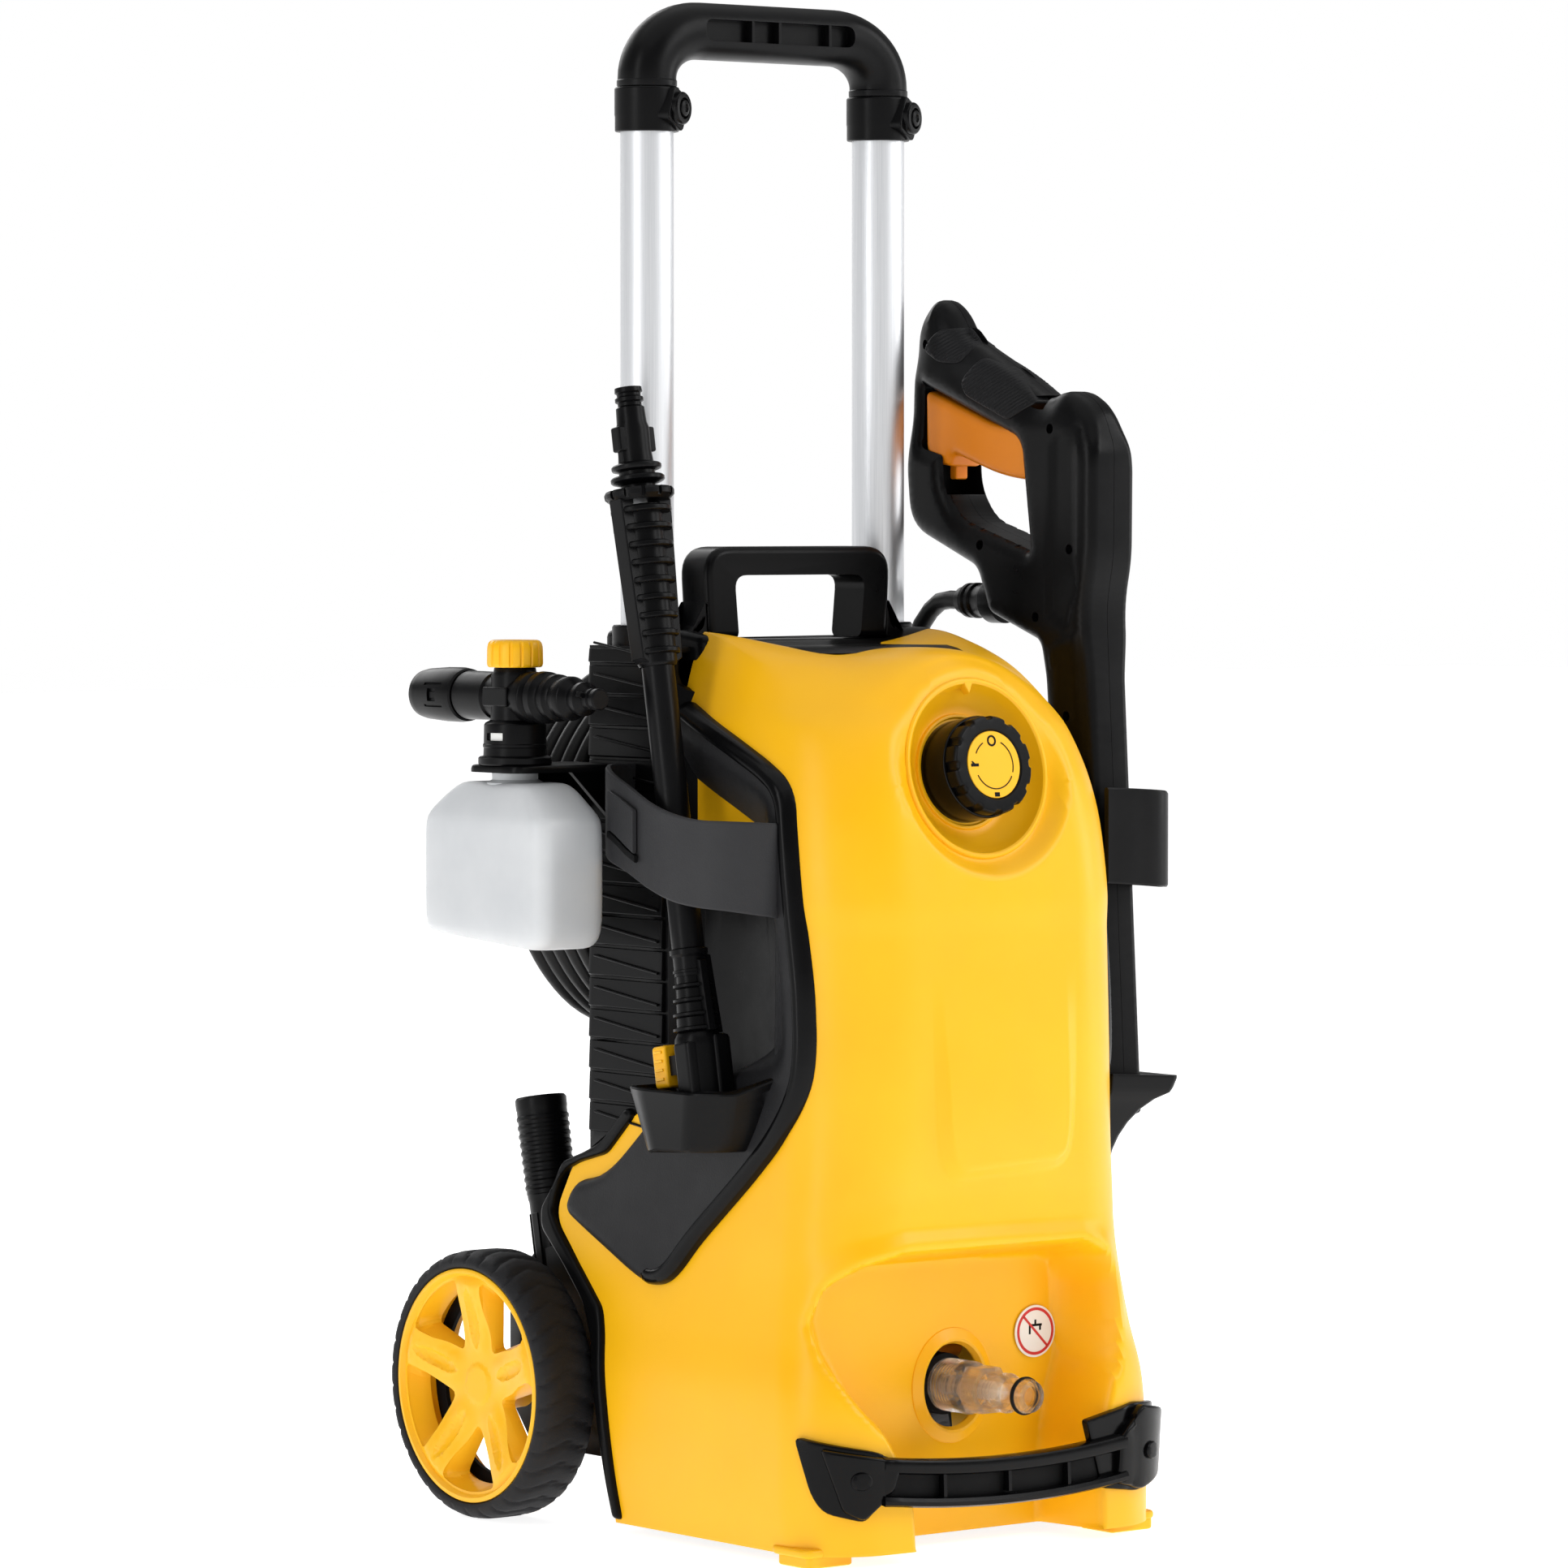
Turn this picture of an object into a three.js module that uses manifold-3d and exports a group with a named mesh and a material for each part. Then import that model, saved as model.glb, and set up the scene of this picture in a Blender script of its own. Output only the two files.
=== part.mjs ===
// A wheeled upright pressure washer with a telescopic trolley handle. Millimetres, +Z up, front towards -Y.
// The design frame has x = 0 on the body's mid-plane, z = 0 on the floor and the front feet at y = -150;
// the exported group moves it so that the origin is the bottom centre of the bounding box.
import * as THREE from "three";
import { mergeVertices } from "three/addons/utils/BufferGeometryUtils.js";
import Module from "manifold-3d";

const wasm = await Module();
wasm.setup();

// ---------------------------------------------------------------- driving dimensions
const GAP = 0.3; // between faces that meet
const WALL = 3; // plastic shells
const SIDES = 20; // facets of a plain round piece

const HEIGHT = 800; // floor to the top of the extended handle
const HALF_WIDTH = 100; // body at mid-height
const FRONT_Y = -162; // belly of the front cover
const TOP_Z = 469; // crown of the front cover
const REAR_Y = 50; // back plane of the rear housing
const DECK_Z = 462; // top of the rear housing

const POLE_R = 14;
const POLE = { x: HALF_WIDTH - 8 - POLE_R, y: REAR_Y - 7 - POLE_R, r: POLE_R, wall: 1.5, bottom: 268, top: HEIGHT - 48 };
const SLEEVE = { clearance: 0.6, wall: 2.2, bottom: 52 };
const COLLAR = { r: POLE_R + 3, bottom: HEIGHT - 70, top: HEIGHT - 46 };
const GRIP = { r: POLE_R + 1, bend: POLE_R + 34, top: HEIGHT };

const WHEEL_R = 71;
const WHEEL = { r: WHEEL_R, width: 36, inner: HALF_WIDTH + 12, y: WHEEL_R + 26, rimR: WHEEL_R - 9 };
const AXLE = { r: 5, clearance: 0.4 };
const HUB = { r: 14 };

const KNOB = { r: 26.5, frontR: 23.5, length: 30, tilt: THREE.MathUtils.degToRad(10), y: FRONT_Y + 31, z: 398 };
const KNOB_WELL = { rimR: 47, floorR: 36, depth: 22 };
const INLET = { z: 82, floorY: FRONT_Y + 34, holeR: 17 };
const MOTOR = { r: 52, z0: 150, z1: 262, y: -48 };
const PUMP = { r: 44, z0: 62, z1: 128 };
const SHAFT_R = 6;

const LANCE = { x: -HALF_WIDTH - 18, y: -75, z: 210, tilt: THREE.MathUtils.degToRad(10) };
const GUN = { x: HALF_WIDTH + 25, half: 17, bevel: 3 };
const FOAM = { x: -HALF_WIDTH - 53, y: 44, axisZ: 436, neckR: 13.5 };
const BOTTLE = { x: 46, y: 103, bottom: 306, top: 393 };
const TURBO = { x: -HALF_WIDTH + 14, y: 92, z: 112, r: 12, tilt: THREE.MathUtils.degToRad(11) };

const HOSE = { r: 5, pitch: 11, across: 5, layers: 2, z: 352, y0: REAR_Y + 14 };
const HANGER = { r: 85 };

// ---------------------------------------------------------------- materials
const plastic = (color, roughness) => new THREE.MeshStandardMaterial({ color, roughness, metalness: 0 });
const metal = (color, roughness) => new THREE.MeshStandardMaterial({ color, roughness, metalness: 1 });
const YELLOW = plastic(0xfbbf1e, 0.38);
const BLACK = plastic(0x16161a, 0.45);
const GREY = plastic(0x35363a, 0.6);
const RUBBER = plastic(0x1c1c20, 0.8);
const CLEAR = new THREE.MeshStandardMaterial({ color: 0xc8b8a8, roughness: 0.1, transparent: true, opacity: 0.5 });
const MILKY = plastic(0xe6e7e8, 0.5);
const WHITE = plastic(0xf2f2ee, 0.5);
const ALUMINIUM = metal(0xd2d4d8, 0.25);
const STEEL = metal(0x9a9da2, 0.35);
const BRASS = metal(0xc09a4a, 0.35);

// ---------------------------------------------------------------- solids
const X = new THREE.Vector3(1, 0, 0);
const Y = new THREE.Vector3(0, 1, 0);
const Z = new THREE.Vector3(0, 0, 1);

// A closed geometry as a manifold-3d solid.
function solid(geometry) {
  const bare = (geometry.index ? geometry.toNonIndexed() : geometry).clone();
  bare.deleteAttribute("normal");
  bare.deleteAttribute("uv");
  const merged = mergeVertices(bare, 1e-4);
  return new wasm.Manifold(
    new wasm.Mesh({
      numProp: 3,
      vertProperties: new Float32Array(merged.attributes.position.array),
      triVerts: new Uint32Array(merged.index.array),
    }),
  );
}

// A manifold-3d solid as a flat-shaded geometry.
function geometryOf(made) {
  const mesh = made.getMesh();
  const positions = new Float32Array(mesh.numVert * 3);
  for (let i = 0; i < mesh.numVert; i++) {
    positions.set(mesh.vertProperties.subarray(i * mesh.numProp, i * mesh.numProp + 3), i * 3);
  }
  const geometry = new THREE.BufferGeometry();
  geometry.setAttribute("position", new THREE.BufferAttribute(positions, 3));
  geometry.setIndex(new THREE.BufferAttribute(new Uint32Array(mesh.triVerts), 1));
  return geometry.toNonIndexed();
}

const union = (...solids) => solids.reduce((all, one) => all.add(one));
const box = (x0, x1, y0, y1, z0, z1) =>
  solid(new THREE.BoxGeometry(x1 - x0, y1 - y0, z1 - z0).translate((x0 + x1) / 2, (y0 + y1) / 2, (z0 + z1) / 2));

// A solid of revolution about +Z from [radius, height] pairs that go up the outside of the section.
function turned(profile, sides = SIDES) {
  const points = profile.map(([radius, height]) => new THREE.Vector2(radius, height));
  const first = points[0];
  const last = points[points.length - 1];
  const closed = first.x === 0 && last.x === 0 ? points : [...points, first.clone()];
  return solid(new THREE.LatheGeometry(closed, sides).rotateX(Math.PI / 2));
}
const rod = (r, z0, z1, sides = SIDES) => turned([[0, z0], [r, z0], [r, z1], [0, z1]], sides);
const pipe = (r, bore, z0, z1, sides = SIDES) => turned([[bore, z0], [r, z0], [r, z1], [bore, z1]], sides);

// Turns a solid's +Z axis to a direction and moves it.
function aim(made, direction, x, y, z) {
  const turn = new THREE.Quaternion().setFromUnitVectors(Z, direction.clone().normalize());
  const m = new THREE.Matrix4().compose(new THREE.Vector3(x, y, z), turn, new THREE.Vector3(1, 1, 1));
  return made.transform(m.elements);
}
const mirrored = (made) => made.mirror([1, 0, 0]);

// A polygon whose corners are rounded to a radius, which a third entry of a corner may override.
function outline(corners, radius, steps) {
  const points = [];
  corners.forEach((corner, i) => {
    const here = new THREE.Vector2(corner[0], corner[1]);
    const before = corners[(i + corners.length - 1) % corners.length];
    const after = corners[(i + 1) % corners.length];
    const back = new THREE.Vector2(before[0], before[1]).sub(here);
    const on = new THREE.Vector2(after[0], after[1]).sub(here);
    const cut = Math.min(corner[2] ?? radius, back.length() * 0.45, on.length() * 0.45);
    if (cut < 0.05) {
      points.push(here);
      return;
    }
    const start = here.clone().add(back.setLength(cut));
    const end = here.clone().add(on.setLength(cut));
    points.push(...new THREE.QuadraticBezierCurve(start, here, end).getPoints(steps));
  });
  return new THREE.Shape(points);
}

// An outline extruded between two levels of the third axis; the axes name the outline's plane.
function extruded(plane, corners, from, to, radius = 0, { steps = 2, bevel = 0 } = {}) {
  const shape = outline(corners, radius, steps);
  const geometry = new THREE.ExtrudeGeometry(shape, {
    depth: to - from - 2 * bevel,
    bevelEnabled: bevel > 0,
    bevelThickness: bevel,
    bevelSize: bevel,
    bevelOffset: -bevel,
    bevelSegments: 1,
  });
  geometry.translate(0, 0, from + bevel);
  if (plane === "yz") geometry.applyMatrix4(new THREE.Matrix4().makeBasis(Y, Z, X));
  if (plane === "xz") geometry.applyMatrix4(new THREE.Matrix4().makeBasis(X, Z, Y.clone().negate())).scale(1, -1, 1);
  const made = solid(geometry);
  return made.volume() < 0 ? solid(reversed(geometry)) : made;
}

// The same surface with every face turned round.
function reversed(geometry) {
  const flat = geometry.index ? geometry.toNonIndexed() : geometry.clone();
  const p = flat.attributes.position;
  for (let i = 0; i < p.count; i += 3) {
    const a = [p.getX(i), p.getY(i), p.getZ(i)];
    p.setXYZ(i, p.getX(i + 1), p.getY(i + 1), p.getZ(i + 1));
    p.setXYZ(i + 1, ...a);
  }
  return flat;
}

// A tube of the given radius along a smooth curve through points.
function tube(points, radius, sides = 10, steps = 40) {
  const path = new THREE.CatmullRomCurve3(points.map((p) => new THREE.Vector3(...p)), false, "centripetal");
  const section = new THREE.Shape();
  section.absarc(0, 0, radius, 0, 2 * Math.PI);
  return solid(new THREE.ExtrudeGeometry(section, { steps, curveSegments: sides / 2, bevelEnabled: false, extrudePath: path }));
}

// A closed skin over horizontal rings of equal length, given from the bottom up.
function lofted(rings) {
  const n = rings[0].length;
  const triangles = [];
  const add = (...points) => points.forEach((p) => triangles.push(...p));
  rings.slice(1).forEach((upper, k) => {
    const lower = rings[k];
    for (let i = 0; i < n; i++) {
      const j = (i + 1) % n;
      add(lower[i], lower[j], upper[j]);
      add(lower[i], upper[j], upper[i]);
    }
  });
  [rings[0], rings[rings.length - 1]].forEach((ring, isTop) => {
    const faces = THREE.ShapeUtils.triangulateShape(ring.map((p) => new THREE.Vector2(p[0], p[1])), []);
    faces.forEach(([a, b, c]) => (isTop ? add(ring[a], ring[b], ring[c]) : add(ring[a], ring[c], ring[b])));
  });
  const geometry = new THREE.BufferGeometry();
  geometry.setAttribute("position", new THREE.BufferAttribute(new Float32Array(triangles), 3));
  const made = solid(geometry);
  return made.volume() < 0 ? solid(reversed(geometry)) : made;
}

const model = new THREE.Group();
function piece(name, made, material, parent = model) {
  const mesh = new THREE.Mesh(geometryOf(made), material);
  mesh.name = name;
  parent.add(mesh);
  return mesh;
}
function group(x, y, z, tiltX = 0, parent = model) {
  const made = new THREE.Group();
  made.position.set(x, y, z);
  made.rotation.x = tiltX;
  parent.add(made);
  return made;
}

// ---------------------------------------------------------------- front cover
// Rows of the cover from the floor up: height, half-width, front, corner radius.
const ROWS = [
  [6, HALF_WIDTH + 14, FRONT_Y - 5, 34],
  [60, HALF_WIDTH + 18, FRONT_Y - 6, 36],
  [112, HALF_WIDTH + 13, FRONT_Y - 2, 38],
  [158, HALF_WIDTH + 6, FRONT_Y + 4, 38],
  [200, HALF_WIDTH + 2, FRONT_Y - 1, 38],
  [300, HALF_WIDTH, FRONT_Y, 40],
  [355, HALF_WIDTH, FRONT_Y + 5, 42],
  [400, HALF_WIDTH - 2, FRONT_Y + 15, 46],
  [424, HALF_WIDTH - 8, FRONT_Y + 25, 50],
  [444, HALF_WIDTH - 16, FRONT_Y + 44, 52],
  [458, HALF_WIDTH - 26, FRONT_Y + 68, 50],
  [TOP_Z, HALF_WIDTH - 44, FRONT_Y + 96, 40],
];
const COVER_BACK = 90;
const CROWN = 4; // bow of the front face in plan

function coverRing([z, w, front, r], inset) {
  const half = w - inset;
  const f = front + inset;
  const radius = Math.max(r - inset, 6);
  const arc = 4;
  const ring = [[-half, COVER_BACK, z]];
  for (let i = 0; i <= arc; i++) {
    const a = Math.PI + (i / arc) * (Math.PI / 2);
    ring.push([-half + radius + radius * Math.cos(a), f + radius + radius * Math.sin(a), z]);
  }
  ring.push([0, f - CROWN, z]);
  for (let i = 0; i <= arc; i++) {
    const a = -Math.PI / 2 + (i / arc) * (Math.PI / 2);
    ring.push([half - radius + radius * Math.cos(a), f + radius + radius * Math.sin(a), z]);
  }
  ring.push([half, COVER_BACK, z]);
  return ring;
}
function coverBody(inset) {
  const rows = ROWS.map((row) => [...row]);
  rows[0][0] = inset ? -20 : rows[0][0];
  rows[rows.length - 1][0] -= inset;
  return lofted(rows.map((row) => coverRing(row, inset)));
}

// What lies behind the yellow cover, seen from the side: [y, z] corners.
const ARCH = WHEEL.y - WHEEL.r; // the wheel's foremost point
const SIDE_CUT = [
  [-16, 520, 0], [-16, 442, 6], [-129, 402, 14], [-129, 258, 18], [-6, 2 * WHEEL.r + 88, 4], [62, 2 * WHEEL.r + 48, 6],
  [74, 2 * WHEEL.r + 18, 10], [ARCH - 4, WHEEL.r + 39, 16], [ARCH - 22, -30, 0], [140, -30, 0], [140, 520, 0],
];
const sideCut = extruded("yz", SIDE_CUT, -HALF_WIDTH - 60, HALF_WIDTH + 60, 8);

// The arched niche round the water inlet, seen from the front: [x, z] corners.
const nicheCorners = (grow) => [
  [-80 - grow, -40, 0], [-80 - grow, 60], [-86 - grow, 112], [-66, 146 + grow],
  [66, 146 + grow], [86 + grow, 112], [80 + grow, 60], [80 + grow, -40, 0],
];
const niche = (grow) => extruded("xz", nicheCorners(grow), FRONT_Y - 60, INLET.floorY + grow, 18);

const knobAxis = new THREE.Vector3(0, -Math.cos(KNOB.tilt), Math.sin(KNOB.tilt));
const knobWell = (grow) =>
  aim(
    turned([[0, -grow], [KNOB_WELL.floorR + grow, -grow], [KNOB_WELL.rimR + grow, KNOB_WELL.depth],
      [KNOB_WELL.rimR + 12 + grow, KNOB_WELL.depth + 36], [0, KNOB_WELL.depth + 36]], 28),
    knobAxis, 0, KNOB.y + 3, KNOB.z - 1,
  );
const alongKnob = (made) => aim(made, knobAxis, 0, KNOB.y, KNOB.z);
const FASCIA_HOLE_R = 9;

const coverOuter = coverBody(0).subtract(niche(0)).subtract(knobWell(0));
const coverInner = coverBody(WALL).subtract(niche(WALL)).subtract(knobWell(WALL));
const forward = (made, z, y = 0, x = 0) => aim(made, Y.clone().negate(), x, y, z);
piece(
  "front_cover",
  coverOuter
    .subtract(coverInner)
    .subtract(sideCut)
    .subtract(forward(rod(INLET.holeR, 60, 180), INLET.z))
    .subtract(alongKnob(rod(FASCIA_HOLE_R, -40, 20))),
  YELLOW,
);
for (const [side, name] of [[-1, "foot_left"], [1, "foot_right"]]) {
  const pad = extruded("xy", [[-13, -12], [13, -12], [13, 12], [-13, 12]], 0, 6 - GAP, 4);
  piece(name, pad.translate([side * (HALF_WIDTH + 1), FRONT_Y + 22, 0]), YELLOW);
}

// ---------------------------------------------------------------- rear housing
// Plan of the upper housing's left half, from the front flange to the back: [x, y].
const GLAND = { x: 30, z: 205, r: 8 };
const RECESS_X = 80;
const RECESS_Y = -54; // middle of the recess
const VENT_Y = -15; // front edge of the vent walls
const housingPlan = (inset) => {
  const left = [
    [-HALF_WIDTH + 0.5 + inset, -128.4 + inset], [-HALF_WIDTH + 0.5 + inset, -115], [-HALF_WIDTH + 8 + inset, -105],
    [-RECESS_X - 3 + inset, -90], [-RECESS_X + inset, RECESS_Y], [-RECESS_X - 4 + inset, VENT_Y - 13],
    [-HALF_WIDTH + 2 + inset, VENT_Y + inset], [-HALF_WIDTH + inset, VENT_Y + 9 + inset],
    [-HALF_WIDTH + inset, REAR_Y - inset],
  ];
  return [...left, ...left.map(([x, y]) => [-x, y]).reverse()];
};
const upperHousing = (inset, z0, z1) => extruded("xy", housingPlan(inset), z0, z1, 0);
const CARRIER = { half: HALF_WIDTH - 2, y0: POLE.y - POLE.r - 7, y1: WHEEL.y + 27, z0: 35, z1: WHEEL.r + 67 };
const carrierProfile = (inset) => [
  [CARRIER.y0 + inset, CARRIER.z0 - 4 * inset], [CARRIER.y1 - 20, CARRIER.z0 - 4 * inset],
  [CARRIER.y1 - inset, CARRIER.z0 + 24], [CARRIER.y1 - inset, CARRIER.z1 - 20], [CARRIER.y1 - 22, CARRIER.z1 - inset],
  [REAR_Y - inset, CARRIER.z1 + 16 - inset], [REAR_Y - inset, 200], [CARRIER.y0 + inset, 200],
];
const carrier = (inset) => extruded("yz", carrierProfile(inset), -CARRIER.half + inset, CARRIER.half - inset, 0);
const sleeveR = POLE.r + SLEEVE.clearance + SLEEVE.wall;
const bothSides = (made) => union(made, mirrored(made));
const poleHoles = bothSides(rod(sleeveR + GAP, 30, 600).translate([POLE.x, POLE.y, 0]));
const acrossWheels = (made) => aim(made, X, 0, WHEEL.y, WHEEL.r);
const turboAxis = new THREE.Vector3(0, Math.sin(TURBO.tilt), Math.cos(TURBO.tilt));
const alongTurbo = (made) => aim(made, turboAxis, TURBO.x, TURBO.y, TURBO.z);

// Where black pieces may lie: behind the cover's edge, or inside its cavity.
const sides = [[0, 0, 0], [0, GAP + 0.1, 0], [0, 0, GAP + 0.1], [0, 0, -GAP - 0.1]];
const behindCover = sides.map((shift) => sideCut.translate(shift)).reduce((all, one) => all.intersect(one));
const cavity = coverBody(WALL + GAP).subtract(niche(WALL + GAP)).subtract(knobWell(WALL + GAP));
const allowed = union(behindCover, cavity);
const flushFront = union(coverBody(0.4), box(-HALF_WIDTH - 30, HALF_WIDTH + 30, VENT_Y - 12, 140, 0, 520));

const upperShell = upperHousing(0, 190, DECK_Z).subtract(upperHousing(WALL, 150, DECK_Z - WALL)).intersect(flushFront);
const rearOpenings = union(
  poleHoles,
  acrossWheels(rod(AXLE.r + AXLE.clearance, -HALF_WIDTH - 30, HALF_WIDTH + 30)),
  alongTurbo(rod(TURBO.r + 1, 0, 60)),
  alongKnob(rod(FASCIA_HOLE_R, -60, 20)),
  forward(rod(GLAND.r + GAP, -60, -40), GLAND.z, 0, GLAND.x),
);
const carrierShell = carrier(0).subtract(carrier(WALL)).subtract(upperHousing(WALL, 150, 400));
const grooves = [];
for (let i = 0; i < 10; i++) {
  const z = 214 + i * 22;
  const slit = extruded("yz", [[VENT_Y + 14, z], [REAR_Y - 6, z - 5], [REAR_Y - 6, z - 3], [VENT_Y + 14, z + 2]], -HALF_WIDTH - 20, HALF_WIDTH + 20);
  grooves.push(slit.subtract(box(-HALF_WIDTH + 1.4, HALF_WIDTH - 1.4, -100, 100, 0, 500)));
}
piece(
  "rear_housing",
  union(upperShell, carrierShell).subtract(rearOpenings).intersect(allowed).subtract(union(...grooves)),
  BLACK,
);
piece("base_tray", baseTray(), BLACK);

// A floor tray that carries the pump on a ring, with its edges inside the cover.
function baseTray() {
  const half = HALF_WIDTH + 8;
  const plate = extruded("xy", [[-half, INLET.floorY + 30], [half, INLET.floorY + 30], [half, 3], [-half, 3]], 8, 12, 6);
  const ears = extruded("xy", [[-half, FRONT_Y + 30], [-90, FRONT_Y + 30], [-90, -40], [-half, -40]], 8, 12, 6);
  const ring = pipe(PUMP.r - 4, PUMP.r - 8, 10, PUMP.z0 - GAP).translate([0, MOTOR.y, 0]);
  const web = box(-half + 8, half - 8, -14, -10, 10, 34).subtract(rod(PUMP.r - 6, 0, 60).translate([0, MOTOR.y, 0]));
  return union(plate, ears, mirrored(ears), ring, web);
}

// ---------------------------------------------------------------- trims laid on the cover's sides
const CUP = { z0: 204, z1: 237 };
const RISE = 2 * WHEEL.r - 142; // how far a larger wheel lifts the lower trims
const PANEL = [
  [-62, 256], [-28, 250], [-24, 234], [-8, 217], [22, 191], [51, 181], [61, 167], [4, 138], [-21, 132], [-39, 142], [-71, 172], [-113, 210],
  [-134, 243], [-134, 290, 2], [-119, 290, 2], [-119, 252],
];
const EDGE = [[6, 8], [26, 100], [80, 156], [70, 196], [66, 186], [73, 161], [19, 110], [0, 8]];
const lifted = (corners) => corners.map(([y, z]) => [y, z < 20 ? z : z + RISE]);
function sideTrim() {
  const skin = coverBody(-3.2 - GAP).subtract(coverBody(-GAP));
  const panel = extruded("yz", lifted(PANEL), -HALF_WIDTH - 30, 0, 8);
  const edge = extruded("yz", lifted(EDGE), -HALF_WIDTH - 60, 0, 3);
  const cupRoom = box(-HALF_WIDTH - 60, 0, -107, -41, CUP.z0 - GAP, CUP.z1 + 2);
  return union(skin.intersect(panel).subtract(cupRoom), skin.intersect(edge), skin.intersect(box(-HALF_WIDTH - 60, 0, 58, 76, 164 + RISE, 178 + RISE)));
}
const trim = sideTrim();
piece("side_trim_left", trim, GREY);
const gunCupRoom = box(HALF_WIDTH - 20, HALF_WIDTH + 60, -134.6, -71.4, 188.6, 236.4);
piece("side_trim_right", mirrored(trim).subtract(gunCupRoom), GREY);

// ---------------------------------------------------------------- carrying handle and bumper
const CARRY = { half: POLE.x - POLE.r - 1, y0: POLE.y - 31, y1: POLE.y - 6, top: DECK_Z + 52, bar: 15, post: 19 };
function carryHandle() {
  const z0 = DECK_Z + GAP;
  const outer = [[-CARRY.half + 3, z0 + 4, 0], [-CARRY.half, CARRY.top, 16], [CARRY.half, CARRY.top, 16], [CARRY.half - 3, z0 + 4, 0]];
  const inner = CARRY.half - CARRY.post;
  const gap = [[-inner + 3, z0 + 4, 0], [-inner, CARRY.top - CARRY.bar, 8], [inner, CARRY.top - CARRY.bar, 8], [inner - 3, z0 + 4, 0]];
  const w = CARRY.half - 3;
  const foot = extruded("xy", [[-w, CARRY.y0 - 10], [w, CARRY.y0 - 10], [w, CARRY.y1], [-w, CARRY.y1]], z0, z0 + 5, 4);
  const hoop = extruded("xz", outer, CARRY.y0, CARRY.y1, 0, { bevel: 2.5 }).subtract(extruded("xz", gap, -90, 90));
  return union(foot, hoop);
}
piece("carry_handle", carryHandle(), BLACK);

const BUMPER = { z0: 24, z1: 48, rail: 9, proud: 6, ends: [22, 62] };
function bumper() {
  const skin = coverBody(-BUMPER.proud).subtract(coverBody(-GAP));
  const rails = skin.intersect(box(-HALF_WIDTH - 30, HALF_WIDTH + 30, -200, FRONT_Y + 22, BUMPER.z0, BUMPER.z1));
  const slots = [];
  for (let i = -3; i <= 3; i++) {
    slots.push(box(i * 26 - 11.5, i * 26 + 11.5, -200, -100, BUMPER.z0 + BUMPER.rail, BUMPER.z1 - BUMPER.rail));
  }
  const end = skin.intersect(
    extruded("yz", [[-200, 20], [FRONT_Y - 4, 20], [FRONT_Y + 20, 30], [FRONT_Y + 26, 66], [-200, 60]], -HALF_WIDTH - 30, -84, 4),
  );
  return union(rails.subtract(union(...slots)), end, mirrored(end));
}
piece("bumper", bumper(), BLACK);

// ---------------------------------------------------------------- wheels
const RIM_W = { z0: WHEEL.inner + 1, z1: WHEEL.inner + WHEEL.width - 1 };
function tyre() {
  const [a, b] = [WHEEL.inner, WHEEL.inner + WHEEL.width];
  const bore = WHEEL.rimR + GAP;
  return turned([[bore, a + 2], [WHEEL.r - 3, a], [WHEEL.r, a + 6], [WHEEL.r, b - 8], [WHEEL.r - 4, b], [bore, b - 2]], 32);
}
function rim() {
  const z1 = RIM_W.z1;
  const hoop = turned([[WHEEL.rimR - 7, RIM_W.z0], [WHEEL.rimR, RIM_W.z0], [WHEEL.rimR, z1], [WHEEL.rimR - 5, z1]], 32);
  const hub = pipe(HUB.r, AXLE.r + AXLE.clearance, RIM_W.z0 - 3, z1 - 8, 16);
  const cap = turned([[0, z1 - 9], [HUB.r, z1 - 9], [HUB.r - 2, z1 - 3], [0, z1 - 2]], 16);
  const spokes = [];
  for (let i = 0; i < 5; i++) {
    const shape = [[-8, 10, 0], [8, 10, 0], [15, WHEEL.rimR - 3, 0], [-15, WHEEL.rimR - 3, 0]];
    spokes.push(extruded("xy", shape, z1 - 12, z1 - 3).rotate([0, 0, i * 72 + 36]));
  }
  return union(hoop, hub, cap, ...spokes).subtract(rod(AXLE.r + AXLE.clearance, 0, z1 - 8.5));
}
piece("axle", acrossWheels(rod(AXLE.r, -(RIM_W.z1 - 9.5), RIM_W.z1 - 9.5, 16)), STEEL);
for (const [sign, side] of [[-1, "left"], [1, "right"]]) {
  const place = (made) => {
    const turnedRight = acrossWheels(made);
    return sign < 0 ? mirrored(turnedRight) : turnedRight;
  };
  piece("rim_" + side, place(rim()), YELLOW);
  piece("tyre_" + side, place(tyre()), RUBBER);
}

// ---------------------------------------------------------------- motor and pump
const motorHalf = (made) => made.translate([0, MOTOR.y, 0]);
function motorCan() {
  const outer = rod(MOTOR.r, MOTOR.z0, MOTOR.z1);
  const bore = turned([[0, MOTOR.z0 - 1], [MOTOR.r - 14, MOTOR.z0 - 1], [MOTOR.r - 14, MOTOR.z1 - 6], [SHAFT_R + 2, MOTOR.z1 - 6],
    [SHAFT_R + 2, MOTOR.z1 + 1], [0, MOTOR.z1 + 1]]);
  return outer.subtract(bore);
}
piece("motor_can", motorHalf(motorCan()), STEEL);
const SWASH_Z = PUMP.z1 + 4;
piece(
  "rotor_shaft",
  motorHalf(union(rod(SHAFT_R, SWASH_Z + 8, MOTOR.z1 + 18, 16), rod(MOTOR.r - 16, MOTOR.z0 + 8, MOTOR.z1 - 14))),
  STEEL,
);
function fan() {
  const blades = [];
  for (let i = 0; i < 7; i++) blades.push(box(8, 38, -1.2, 1.2, 0, 14).rotate([0, 0, (i * 360) / 7]));
  return union(rod(11, 0, 14, 16), rod(40, 0, 2, 28), ...blades).subtract(rod(SHAFT_R + GAP, -1, 20, 16));
}
piece("motor_fan", motorHalf(fan().translate([0, 0, MOTOR.z1 + 3])), WHITE);
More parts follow.
